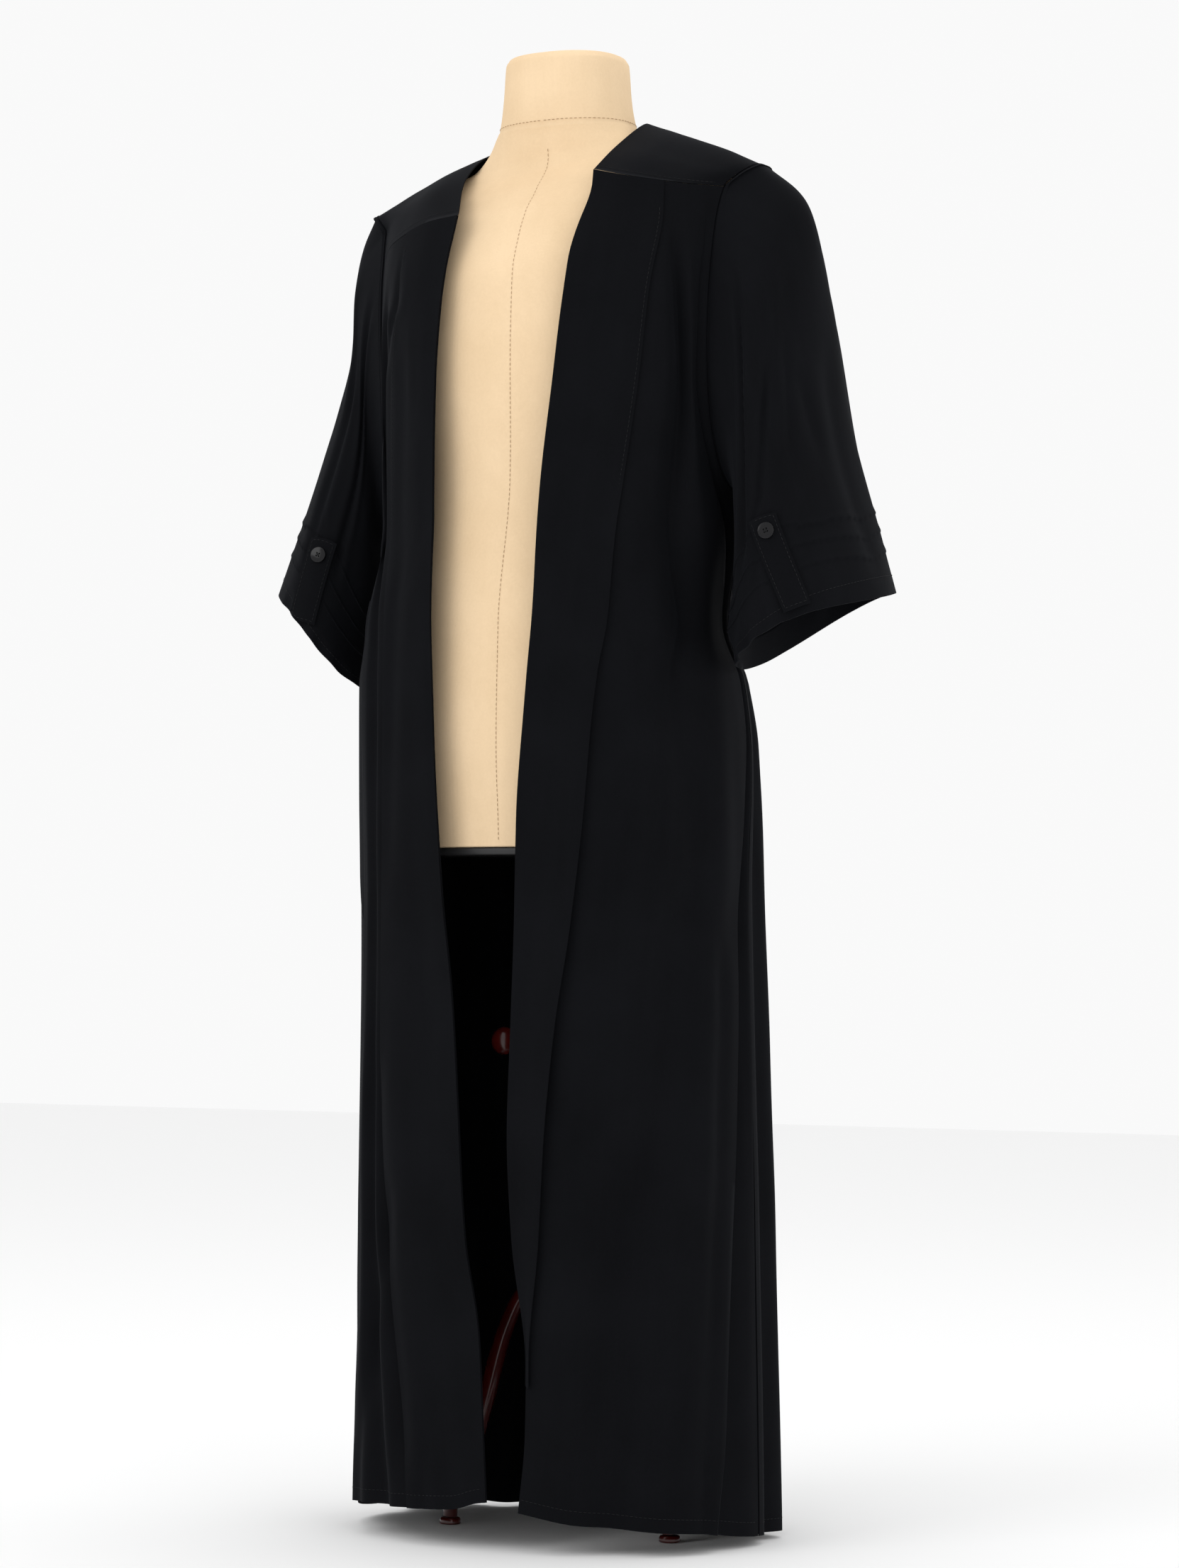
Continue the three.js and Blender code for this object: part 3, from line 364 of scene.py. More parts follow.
drape = {"amount": 0.9, "across": 44, "down": 330, "fine": 0.3, "fineAcross": 15, "fineDown": 120}


# a fold dips in its middle and swells on both sides: each swell's place, breadth and height, in fold widths
foldSwells = [(1.9, 1.3, 0.42), (-2.1, 1.4, 0.3)]


def foldShape(across):
    shape = np.exp(-across ** 2)
    for place, breadth, height in foldSwells:
        shape = shape - height * np.exp(-((across - place) / breadth) ** 2)
    return shape


def foldDepth(folds, side, angle, z):
    # how far a panel's folds move it in at an angle and height
    out = np.zeros(np.broadcast(angle, z).shape)
    for fold in folds:
        if "x" in fold:
            centre = side * angleAcross(side * along(fold, "x", z), z)
        elif "y" in fold:
            centre = angleDeep(along(fold, "y", z), z)
        else:
            centre = along(fold, "angle", z)
        across = np.radians(angle - centre) * gown["meanRadius"] / fold["width"]
        ends = min(60, 0.3 * (fold["z"][-1] - fold["z"][0]))
        fade = smooth((z - fold["z"][0] + 12) / ends) * smooth((fold["z"][-1] - z + 12) / ends)
        if fold["z"][0] < 45:
            fade = smooth((fold["z"][-1] - z + 12) / ends)
        out = out - fold["depth"] * fade * foldShape(across)
    return out


def drapeNoise(angle, z, seed, quiet):
    # slow unevenness of hanging cloth, long down the panel and short across it
    angle, z, quiet = np.broadcast_arrays(angle, z, quiet)
    out = np.zeros(angle.shape)
    for index in np.ndindex(angle.shape):
        arc = math.radians(angle[index]) * gown["meanRadius"]
        height = z[index]
        slow = noise.noise(Vector((arc / drape["across"], height / drape["down"], seed)))
        fine = noise.noise(Vector((arc / drape["fineAcross"], height / drape["fineDown"], seed + 7)))
        out[index] = quiet[index] * (2 * drape["amount"] * slow + 2 * drape["fine"] * fine)
    return out


def frontPoint(side, t, v, lift=0.0, rough=True):
    t, v = np.broadcast_arrays(np.asarray(t, float), np.asarray(v, float))
    top = frontTop(side, t)
    topZ = top[..., 2] - gown["seam"]
    z = mix(topZ, along(hemLine, "z", side * frontAngle(side, t, 40.0), "angle"), v)
    blend = 1 - smooth((topZ - z) / gown["topBlend"])
    angle = frontAngle(side, t, z)
    out = frontRelief(side, t, z) * (1 - blend) + lift
    if rough:
        atSide = 1 - smooth((t - 3.1) / 0.5) * smooth((z - 560) / 120)
        out = out + foldDepth(leftFolds if side > 0 else rightFolds, side, angle, z) * (1 - blend) * atSide
        out = out + drapeNoise(angle, z, 3 + side, (1 - blend) * np.maximum(0.25, atSide))
    own = sectionPoint(bodySections, side * angle, z, out)
    ownTop = sectionPoint(bodySections, side * frontAngle(side, t, topZ), topZ)
    shift = (top - ownTop) * blend[..., None]
    shift[..., 2] = 0
    return own + shift


gathers = {"folds": 9, "atYoke": 2, "atHem": 8, "plainEdge": 0.06,
           "smallCount": 46, "small": 1.0, "smallReach": 110}


def backPoint(t, v, rough=True):
    t, v = np.broadcast_arrays(np.asarray(t, float), np.asarray(v, float))
    left, right = backSeam[0, 0], backSeam[-1, 0]
    top = onSeam(backSeam, mix(left, right, t))
    topZ = top[..., 2] - gown["seam"]

    def angleAt(z):
        return mix(sideAt(1, z, True), 360 - sideAt(-1, z, True), t)

    low = angleAt(40.0)
    z = mix(topZ, along(hemLine, "z", np.where(low > 180, low - 360, low), "angle"), v)
    fade = smooth(t / gathers["plainEdge"]) * smooth((1 - t) / gathers["plainEdge"])
    swing = np.cos(2 * np.pi * gathers["folds"] * (t + 0.012 * np.sin(9 * t + 2 * v)))
    lift = fade * mix(gathers["atYoke"], gathers["atHem"], v) * (swing - 0.2)
    below = topZ - z
    if rough:
        pleats = np.cos(2 * np.pi * gathers["smallCount"] * (t + 0.006 * np.sin(31 * t)))
        reach = np.exp(-below / gathers["smallReach"]) * smooth(below / 8)
        lift = lift + fade * gathers["small"] * reach * pleats
        lift = lift + fade * foldDepth(backFolds, 1, angleAt(z), z) * smooth((below - 20) / 90)
        lift = lift + fade * drapeNoise(angleAt(z), z, 11.0, smooth((below - 10) / 120))
    blend = 1 - smooth(below / gown["topBlend"])
    own = sectionPoint(bodySections, angleAt(z), z, lift * smooth(below / 20))
    ownTop = sectionPoint(bodySections, angleAt(topZ), topZ)
    shift = (top - ownTop) * blend[..., None]
    shift[..., 2] = 0
    return own + shift


def sleeveRing(side, row, degrees):
    c, s = np.cos(np.radians(degrees)), np.sin(np.radians(degrees))
    outerOut, frontOut, innerOut, frontBack = row["turn"] if side < 0 else (0, 0, 0, 0)
    outer = np.array(row["outer"]) + (outerOut, 0, 0)
    front = np.array(row["front"]) + (frontOut, frontBack, 0)
    inner = np.array(row["inner"]) + (innerOut, 0, 0)
    ends, flanks = outer + inner, front + np.array(row["rear"])
    point = (ends + flanks) / 4 + c[..., None] * (outer - inner) / 2
    point = point + s[..., None] * (front - np.array(row["rear"])) / 2
    point = point + np.cos(2 * np.radians(degrees))[..., None] * (ends - flanks) / 4
    rise = mix(rightHemRise["inner"], rightHemRise["outer"], (1 + c) / 2)
    rise = (rise + rightHemRise["front"] * np.maximum(0, s) ** 2) * smooth(row["at"])
    point[..., 0] *= side
    if side < 0:
        point[..., 2] += rise - gown["rightDrop"]
    return point


def sleevePoint(side, degrees, v):
    # degrees is a row of angles and v one share of the way down
    degrees = np.asarray(degrees, float)
    points = [armholePoint(side, degrees)] + [sleeveRing(side, row, degrees) for row in sleeveRows]
    stops = [0] + [row["at"] for row in sleeveRows]
    k = max(0, next((i for i, stop in enumerate(stops) if stop >= v), 5) - 1)
    k = min(k, len(stops) - 2)
    return throughPoints(points, (k + (v - stops[k]) / (stops[k + 1] - stops[k])) / (len(stops) - 1))


def sleeveWays(side, degrees, v):
    # the way round the sleeve over two degrees, and the way down it over a hundredth of its length
    degrees = np.asarray(degrees, float)
    around = sleevePoint(side, degrees + 1, v) - sleevePoint(side, degrees - 1, v)
    return around, sleevePoint(side, degrees, v) - sleevePoint(side, degrees, v - 0.01)


def sleeveNormal(side, degrees, v):
    around, down = sleeveWays(side, degrees, v)
    return unit(np.cross(around, down) * side)


def outward(grid, turn, ring):
    # the direction out of the cloth at each point of a grid, rows running down and columns across
    down = np.empty_like(grid)
    down[1:-1] = grid[2:] - grid[:-2]
    down[0], down[-1] = grid[1] - grid[0], grid[-1] - grid[-2]
    if ring:
        across = np.roll(grid, -1, 1) - np.roll(grid, 1, 1)
    else:
        across = np.empty_like(grid)
        across[:, 1:-1] = grid[:, 2:] - grid[:, :-2]
        across[:, 0], across[:, -1] = grid[:, 1] - grid[:, 0], grid[:, -1] - grid[:, -2]
    return turn * np.cross(down, across)


def clothPiece(name, grid, turn, wall, ring=False, mitre=None):
    # a closed wall of cloth under a grid of outer points, with a UV map in metres along the threads
    rows, columns = grid.shape[:2]
    normal = outward(grid, turn, ring)
    for (rowsAt, columnsAt), axis in mitre or []:
        normal[rowsAt, columnsAt, axis] = 0
    normal = unit(normal)
    points = np.concatenate([grid.reshape(-1, 3), (grid - wall * normal).reshape(-1, 3)]) / 1000
    spans = columns if ring else columns - 1
    i, j = np.meshgrid(np.arange(rows - 1), np.arange(spans), indexing="ij")
    a, b = i * columns + j, (i + 1) * columns + j
    c, d = (i + 1) * columns + (j + 1) % columns, i * columns + (j + 1) % columns
    under = rows * columns
    outer = np.stack([a, b, c, d] if turn > 0 else [a, d, c, b], -1).reshape(-1, 4)
    faces = [outer, (outer + under)[:, ::-1]]
    j = np.arange(spans)
    low = (rows - 1) * columns
    for start, flip in ((0, False), (low, True)):
        near, far = start + j, start + (j + 1) % columns
        rim = np.stack([near, far, under + far, under + near], -1)
        faces.append(rim if flip != (turn > 0) else rim[:, ::-1])
    if not ring:
        i = np.arange(rows - 1) * columns
        for start, flip in ((0, True), (columns - 1, False)):
            near, far = start + i, start + i + columns
            rim = np.stack([near, far, under + far, under + near], -1)
            faces.append(rim if flip == (turn > 0) else rim[:, ::-1])
    faces = np.concatenate(faces)
    piece = newPiece(name, points.tolist(), [], faces.tolist())
    mesh = piece.data
    lengths = np.linalg.norm(np.diff(grid, axis=1, append=grid[:, :1]), axis=-1)
    u = np.cumsum(lengths, axis=1) - lengths
    u = u - u.mean(axis=1, keepdims=True)
    heights = np.linalg.norm(np.diff(grid, axis=0, prepend=grid[:1]), axis=-1)
    v = np.cumsum(heights, axis=0)
    spread = np.concatenate([np.stack([u, v], -1).reshape(-1, 2)] * 2) / 1000
    layer = mesh.uv_layers.new(name="threads")
    loops = np.empty(len(mesh.loops), int)
    mesh.loops.foreach_get("vertex_index", loops)
    layer.data.foreach_set("uv", spread[loops].ravel())
    mesh.update()
    rounded(piece, 50)
    area = sum(polygon.area for polygon in mesh.polygons) / 2
    print(name, len(mesh.polygons), "faces", round(area, 4), "m2")
    return piece


def newPiece(name, points, edges, faces):
    mesh = bpy.data.meshes.new(name)
    mesh.from_pydata(points, edges, faces)
    piece = bpy.data.objects.new(name, mesh)
    bpy.context.scene.collection.objects.link(piece)
    return piece


def selectOnly(piece):
    bpy.ops.object.select_all(action="DESELECT")
    piece.select_set(True)
    bpy.context.view_layer.objects.active = piece


def rounded(piece, degrees):
    selectOnly(piece)
    bpy.ops.object.shade_smooth_by_angle(angle=math.radians(degrees))
    piece.select_set(False)


def finish(piece, material, slot, *nodes):
    piece.data.materials.clear()
    piece.data.materials.append(material)
    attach(piece, "root")
    if nodes:
        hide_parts(*nodes)


def place(piece, matrix):
    piece.data.transform(matrix)
    piece.data.update()


def startEdit(piece):
    selectOnly(piece)
    bpy.ops.object.mode_set(mode="EDIT")


def applied(piece, kind, **values):
    modifier = piece.modifiers.new(kind.lower(), kind)
    for key, value in values.items():
        setattr(modifier, key, value)
    selectOnly(piece)
    bpy.ops.object.modifier_apply(modifier=modifier.name)


def fixed(name):
    # the piece just made, with its place worked into its points
    piece = bpy.context.object
    piece.name = name
    bpy.ops.object.transform_apply(location=True, rotation=True, scale=True)
    return piece


def closeNormals(piece, merge=0):
    startEdit(piece)
    bpy.ops.mesh.select_all(action="SELECT")
    if merge:
        bpy.ops.mesh.remove_doubles(threshold=merge)
    bpy.ops.mesh.normals_make_consistent(inside=False)
    bpy.ops.object.mode_set(mode="OBJECT")

# Finishes
finishes = {
    "cloth": {"dark": (0.0026, 0.0028, 0.0036), "light": (0.0048, 0.0051, 0.0064), "rough": 0.86,
              "sheen": 0.014, "gloss": 0.05, "thread": 0.0006, "bump": 0.25},
    "form": {"dark": (0.74, 0.545, 0.335), "light": (0.84, 0.635, 0.41), "rough": 0.88, "gloss": 0.2,
             "thread": 0.0007, "bump": 0.2},
    "lacquer": {"dark": (0.035, 0.0025, 0.002), "light": (0.085, 0.006, 0.004), "rough": 0.3, "gloss": 0.25},
    "paint": {"color": (0.02, 0.02, 0.021), "rough": 0.42, "gloss": 0.4},
    "button": {"color": (0.004, 0.004, 0.005), "rough": 0.13, "gloss": 0.24},
    "thread": {"color": (0.0065, 0.0069, 0.0082), "rough": 0.8, "gloss": 0.3},
    "seamThread": {"color": (0.30, 0.17, 0.08), "rough": 0.8, "gloss": 0.2},
}


def newMaterial(name):
    material = bpy.data.materials.new(name)
    material.use_nodes = True
    nodes, links = material.node_tree.nodes, material.node_tree.links
    return material, nodes, links, nodes["Principled BSDF"]


def node(nodes, kind, **values):
    made = nodes.new(kind)
    for key, value in values.items():
        if key in made.inputs:
            made.inputs[key].default_value = value
        else:
            setattr(made, key, value)
    return made


def scaledSum(nodes, links, source, factor, other):
    total = node(nodes, "ShaderNodeMath", operation="MULTIPLY_ADD")
    links.new(source, total.inputs[0])
    total.inputs[1].default_value = factor
    links.new(other, total.inputs[2])
    return total.outputs[0]


def colored(nodes, links, shader, source, look, low, high):
    ramp = node(nodes, "ShaderNodeValToRGB")
    for number, place, color in ((0, low, look["dark"]), (1, high, look["light"])):
        ramp.color_ramp.elements[number].position = place
        ramp.color_ramp.elements[number].color = (*color, 1)
    links.new(source, ramp.inputs["Fac"])
    links.new(ramp.outputs["Color"], shader.inputs["Base Color"])


def roughened(nodes, links, shader, source, look, spread):
    rough = node(nodes, "ShaderNodeMapRange")
    rough.inputs["To Min"].default_value = look["rough"] - spread
    rough.inputs["To Max"].default_value = look["rough"] + spread
    links.new(source, rough.inputs["Value"])
    links.new(rough.outputs["Result"], shader.inputs["Roughness"])


def bumped(nodes, links, shader, source, strength, distance):
    bump = node(nodes, "ShaderNodeBump", Strength=strength, Distance=distance)
    links.new(source, bump.inputs["Height"])
    links.new(bump.outputs["Normal"], shader.inputs["Normal"])


def weave(nodes, links, source, pitch):
    # two crossed sets of threads, raised one after the other
    sets = []
    for direction in ("X", "Y"):
        wave = node(nodes, "ShaderNodeTexWave", wave_type="BANDS", wave_profile="SIN",
                    bands_direction=direction)
        wave.inputs["Scale"].default_value = math.pi / 10 / pitch
        wave.inputs["Distortion"].default_value = 0.35
        wave.inputs["Detail"].default_value = 1
        wave.inputs["Detail Scale"].default_value = 0.4
        links.new(source, wave.inputs["Vector"])
        sets.append(wave)
    both = node(nodes, "ShaderNodeMath", operation="MULTIPLY")
    links.new(sets[0].outputs["Fac"], both.inputs[0])
    links.new(sets[1].outputs["Fac"], both.inputs[1])
    return both.outputs[0]


def clothMaterial(name, look, coordinates):
    material, nodes, links, shader = newMaterial(name)
    source = node(nodes, "ShaderNodeTexCoord").outputs[coordinates]
    slow = node(nodes, "ShaderNodeTexNoise", Scale=9.0, Detail=4.0, Roughness=0.55)
    fuzz = node(nodes, "ShaderNodeTexNoise", Scale=420.0, Detail=3.0, Roughness=0.6)
    slub = node(nodes, "ShaderNodeTexNoise", Scale=60.0, Detail=2.0, Roughness=0.5)
    stretch = node(nodes, "ShaderNodeMapping")
    stretch.inputs["Scale"].default_value = (1.0, 0.08, 1.0) if coordinates == "UV" else (1.0, 1.0, 0.08)
    for grain in (stretch, slow, fuzz):
        links.new(source, grain.inputs["Vector"])
    links.new(stretch.outputs["Vector"], slub.inputs["Vector"])
    blend = scaledSum(nodes, links, fuzz.outputs["Fac"], 0.35, slow.outputs["Fac"])
    blend = scaledSum(nodes, links, slub.outputs["Fac"], 0.25, blend)
    colored(nodes, links, shader, blend, look, 0.5, 1.0)
    height = scaledSum(nodes, links, fuzz.outputs["Fac"], 0.8, weave(nodes, links, source, look["thread"]))
    bumped(nodes, links, shader, height, look["bump"], 0.0004)
    roughened(nodes, links, shader, slow.outputs["Fac"], look, 0.08)
    if "sheen" in look:
        shader.inputs["Sheen Weight"].default_value = look["sheen"]
        shader.inputs["Sheen Roughness"].default_value = 0.45
        shader.inputs["Sheen Tint"].default_value = (0.75, 0.82, 1.0, 1)
    shader.inputs["Specular IOR Level"].default_value = look["gloss"]
    return material


def lacquerMaterial():
    look = finishes["lacquer"]
    material, nodes, links, shader = newMaterial("red lacquer")
    stretch = node(nodes, "ShaderNodeMapping")
    stretch.inputs["Scale"].default_value = (1, 1, 0.12)
    grain = node(nodes, "ShaderNodeTexNoise", Scale=90.0, Detail=6.0, Roughness=0.6)
    links.new(node(nodes, "ShaderNodeTexCoord").outputs["Object"], stretch.inputs["Vector"])
    links.new(stretch.outputs["Vector"], grain.inputs["Vector"])
    colored(nodes, links, shader, grain.outputs["Fac"], look, 0.3, 0.75)
    bumped(nodes, links, shader, grain.outputs["Fac"], 0.08, 0.0003)
    shader.inputs["Roughness"].default_value = look["rough"]
    shader.inputs["Coat Weight"].default_value = 0.5
    shader.inputs["Coat Roughness"].default_value = 0.12
    shader.inputs["Specular IOR Level"].default_value = look["gloss"]
    return material


def plainMaterial(name, look, grainScale, spread):
    # one colour with a fine unevenness in its gloss and surface
    material, nodes, links, shader = newMaterial(name)
    shader.inputs["Base Color"].default_value = (*look["color"], 1)
    grain = node(nodes, "ShaderNodeTexNoise", Scale=grainScale, Detail=3.0)
    links.new(node(nodes, "ShaderNodeTexCoord").outputs["Object"], grain.inputs["Vector"])
    roughened(nodes, links, shader, grain.outputs["Fac"], look, spread)
    bumped(nodes, links, shader, grain.outputs["Fac"], 0.06, 0.0002)
    shader.inputs["Specular IOR Level"].default_value = look["gloss"]
    return material


blackCloth = clothMaterial("black gown cloth", finishes["cloth"], "UV")
formCloth = clothMaterial("cream cotton cover", finishes["form"], "Object")
redLacquer = lacquerMaterial()
blackPaint = plainMaterial("black paint", finishes["paint"], 700.0, 0.08)
glossButton = plainMaterial("black button", finishes["button"], 300.0, 0.04)
gownThread = plainMaterial("gown thread", finishes["thread"], 900.0, 0.1)
seamThread = plainMaterial("seam thread", finishes["seamThread"], 900.0, 0.1)
seamCloth = clothMaterial("black seam cloth", finishes["cloth"], "Object")

# Body of the gown
detail = {"across": 84, "bandAcross": 26, "down": 150, "backAcross": 300, "backDown": 130,
          "yokeAcross": 150, "yokeDown": 30, "sleeveAcross": 200, "sleeveDown": 220}
levels = np.linspace(0, 1, detail["down"] + 1)


def panelColumns(upTo=4):
    columns = [np.linspace(0, 1, detail["bandAcross"] + 1)]
    for start, end, count in ((1, 2, 22), (2, 3, 18), (3, pleatFoot, 6), (pleatFoot, 4, 14)):
        columns.append(np.linspace(start, end, count + 1)[1:])
    columns = np.concatenate(columns)
    return columns[columns <= upTo + 1e-6]


def makeFront(side, label, flat, area):
    columns = panelColumns()
    grid = frontPoint(side, columns[None, :], levels[:, None])
    seams = [((0, slice(None)), 2), ((slice(1, None), -1), 1)]
    piece = clothPiece("front_" + label + "_panel", grid, side, gown["wall"], mitre=seams)
    finish(piece, blackCloth, "cloth", "front_" + label)


def bandOff(side, t, v):
    key = "left" if side > 0 else "right"
    z = frontPoint(side, t, v, rough=False)[..., 2]
    return gown["bandLift"] + along(bandStandoff, key, z) * smooth(t * gown["bandFade"] - 0.2)


def makeBand(side, label, flat, area):
    columns = panelColumns(1)
    rows = levels if side < 0 else levels * gown["leftBandEnd"]
    off = bandOff(side, columns[None, :], rows[:, None])
    grid = frontPoint(side, columns[None, :], rows[:, None], off)
    piece = clothPiece("front_" + label + "_pleat", grid, side, gown["wall"], mitre=[((0, slice(None)), 2)])
    finish(piece, blackCloth, "cloth", "front_band_" + label)


def makeBack(flat, area):
    columns = np.linspace(0, 1, detail["backAcross"] + 1)
    rows = np.linspace(0, 1, detail["backDown"] + 1)
    grid = backPoint(columns[None, :], rows[:, None])
    seams = [((0, slice(None)), 2), ((slice(1, None), 0), 1), ((slice(1, None), -1), 1)]
    piece = clothPiece("back_panel", grid, 1, gown["wall"], mitre=seams)
    finish(piece, blackCloth, "cloth", "back")


def yokeGrid(across, down):
    grid = np.array([[yokePoint(j / across, i / down) for j in range(across + 1)] for i in range(down + 1)])
    out = unit(outward(grid, 1, False))
    for i in range(1, down):
        for j in range(1, across):
            x, y, _ = grid[i, j]
            soft = noise.noise(Vector((x / 38, y / 38, 5))) + 0.4 * noise.noise(Vector((x / 14, y / 30, 9)))
            edge = min(i, down - i, 6) / 6 * min(j, across - j, 8) / 8
            grid[i, j] += out[i, j] * 0.7 * soft * edge
    return grid


def makeYoke(flat, area):
    across, down = detail["yokeAcross"], detail["yokeDown"]
    first = int(across * yokeBackFrom)
    seams = [((slice(None), 0), 2), ((slice(None), -1), 2)]
    seams += [((-1, slice(0, first)), 0), ((-1, slice(across + 1 - first, None)), 0)]
    piece = clothPiece("yoke_piece", yokeGrid(across, down), 1, gown["wall"], mitre=seams)
    finish(piece, blackCloth, "cloth", "yoke")


# Edges of the pockets, lying behind the front pleats
pocket = {"from": 0.28, "to": 0.537, "leftReach": 0.17, "rightReach": 0.24, "corner": 0.04,
          "thick": 1.5, "lift": 2.5}


def makePocket(side, label, flat=None, area=None):
    reach = pocket["leftReach"] if side > 0 else pocket["rightReach"]
    rows = np.linspace(pocket["from"], pocket["to"], 60)
    shares = np.linspace(0, 1, 9)
    nearEnd = smooth((pocket["to"] - rows) / pocket["corner"]) ** 0.5
    columns = pleatFoot + reach * shares[None, :] * mix(0.35, 1, nearEnd)[:, None]
    grid = frontPoint(side, columns, rows[:, None] + 0 * columns, pocket["lift"])
    piece = clothPiece("pocket_" + label + "_edge", grid, side, pocket["thick"])
    finish(piece, blackCloth, "cloth", "pocket_" + label)


# Sleeves, with three tucks above the hem and small pleats in its front
sleeve = {"tuckWidth": 0.016, "tuckHeight": 1.1, "pleatsFrom": 62, "pleatsTo": 172, "pleatCount": 5,
          "pleatDepth": 3.2, "hemStitch": 0.962}
# how far down the sleeve each tuck lies at an angle round it, so that they hang level
tucks = {
    "angle": [0, 40, 54, 67, 79, 89, 98, 130, 180],
    "v": [
        [0.85, 0.826, 0.805, 0.77, 0.735, 0.695, 0.66, 0.63, 0.62],
        [0.89, 0.862, 0.848, 0.829, 0.808, 0.783, 0.755, 0.73, 0.72],
        [0.93, 0.905, 0.898, 0.888, 0.876, 0.86, 0.845, 0.83, 0.825],
    ],
}
sleeveFolds = {
    1: [
        {"v": [0.06, 0.16, 0.28, 0.42, 0.56, 0.7], "angle": [66, 78, 88, 97, 104, 108],
         "depth": 3.4, "width": 8},
        {"v": [0.36, 0.46, 0.56, 0.68, 0.80, 0.86], "angle": [62, 70, 77, 86, 95, 98],
         "depth": 2.8, "width": 9},
        {"v": [0.40, 0.52, 0.66], "angle": [46, 48, 50], "depth": 1.8, "width": 7},
        {"v": [0.48, 0.58, 0.72], "angle": [40, 33, 26], "depth": 1.5, "width": 8},
        {"v": [0.10, 0.3, 0.5], "angle": [42, 50, 58], "depth": -1.6, "width": 13},
        {"v": [0.15, 0.4, 0.7, 0.95], "angle": [-20, -26, -34, -40], "depth": 2.4, "width": 12},
        {"v": [0.2, 0.5, 0.85], "angle": [-62, -70, -80], "depth": 2.6, "width": 13},
        {"v": [0.4, 0.7, 0.95], "angle": [-104, -112, -118], "depth": 2.2, "width": 10},
        {"v": [0.5, 0.75, 0.97], "angle": [8, 6, 2], "depth": 1.4, "width": 12},
        {"v": [0.6, 0.75, 0.92], "angle": [154, 150, 144], "depth": -5.5, "width": 15},
    ],
    -1: [
        {"v": [0.06, 0.16, 0.28, 0.42, 0.56, 0.7], "angle": [62, 72, 82, 92, 100, 106],
         "depth": 3.2, "width": 8},
        {"v": [0.34, 0.46, 0.58, 0.70, 0.82, 0.9], "angle": [54, 60, 66, 72, 80, 86],
         "depth": 2.4, "width": 9},
        {"v": [0.3, 0.45, 0.62], "angle": [30, 28, 24], "depth": 1.6, "width": 9},
        {"v": [0.12, 0.3, 0.5], "angle": [38, 44, 50], "depth": -1.5, "width": 12},
        {"v": [0.15, 0.4, 0.7, 0.95], "angle": [-24, -30, -36, -44], "depth": 2.4, "width": 12},
        {"v": [0.25, 0.55, 0.9], "angle": [-66, -72, -82], "depth": 2.4, "width": 12},
        {"v": [0.4, 0.7, 0.95], "angle": [-106, -112, -120], "depth": 2.0, "width": 10},
    ],
}


# Tab buttoned on each sleeve
tab = {"halfWidth": 12.5, "length": 86, "thick": 1.4, "lift": 3.2, "lowest": 0.985,
       "clear": 22, "stitch": 2.6}
tabs = {
    1: {"top": 0.68, "bottom": 0.98, "angleTop": 82, "angleBottom": 69, "button": 0.735},
    -1: {"top": 0.70, "bottom": 0.98, "angleTop": 87, "angleBottom": 94, "button": 0.755},
}


def tuckAt(number, degrees):
    turned = np.abs((degrees + 180) % 360 - 180)
    return np.interp(turned, tucks["angle"], tucks["v"][number])


def sleeveLift(side, degrees, v, perDegree):
    # how far the folds, tucks and hem pleats move the sleeve at a row of angles
    out = np.zeros(degrees.shape)
    for fold in sleeveFolds[side]:
        centre = along(fold, "angle", v, "v")
        gap = (degrees - centre + 180) % 360 - 180
        across = gap * perDegree / fold["width"]
        fade = smooth((v - fold["v"][0] + 0.03) / 0.12) * smooth((fold["v"][-1] - v + 0.03) / 0.12)
        out = out - fold["depth"] * fade * foldShape(across)
    spin = [math.radians(a) for a in degrees]
    rough = [noise.noise(Vector((math.cos(a) * 2.2, math.sin(a) * 2.2, 3.2 * v + 5 * side))) for a in spin]
    out = out + 1.8 * np.array(rough) * smooth((v - 0.08) / 0.2)
    spot = tabs[side]
    middle = mix(spot["angleTop"], spot["angleBottom"], (v - spot["top"]) / (spot["bottom"] - spot["top"]))
    near = np.exp(-((degrees - middle) * perDegree / tab["clear"]) ** 4)
    out = out * (1 - near * smooth((v - spot["top"] + 0.06) / 0.05))
    for number in range(3):
        share = (v - tuckAt(number, degrees)) / sleeve["tuckWidth"] + 1
        out = out + sleeve["tuckHeight"] * np.where((share > 0) & (share <= 1), share, 0)
    share = (degrees - sleeve["pleatsFrom"]) / (sleeve["pleatsTo"] - sleeve["pleatsFrom"])
    inside = (share >= 0) & (share <= 1)
    wave = np.where(inside, np.sin(math.pi * share * sleeve["pleatCount"]) ** 2, 0)
    return out - sleeve["pleatDepth"] * (wave * smooth((v - 0.93) / 0.07))


def sleeveSurface(side, degrees, v, extra=0.0):
    point = sleevePoint(side, degrees, v)
    if v <= 0:
        return point
    perDegree = np.linalg.norm(sleeveWays(side, degrees, v)[0], axis=-1) / 2
    lift = sleeveLift(side, degrees, v, perDegree) * smooth(v / 0.06) + extra
    return point + sleeveNormal(side, degrees, v) * np.asarray(lift)[..., None]


def makeSleeve(side, label, flat, area):
    degrees = np.arange(detail["sleeveAcross"]) * 360 / detail["sleeveAcross"]
    rows = [round(row, 5) for row in np.linspace(0, 1, detail["sleeveDown"] + 1)]
    grid = np.array([sleeveSurface(side, degrees, v) for v in rows])
    piece = clothPiece("sleeve_" + label + "_piece", grid, -side, gown["wall"], True, [((0, slice(None)), 0)])
    finish(piece, blackCloth, "cloth", "sleeve_" + label)


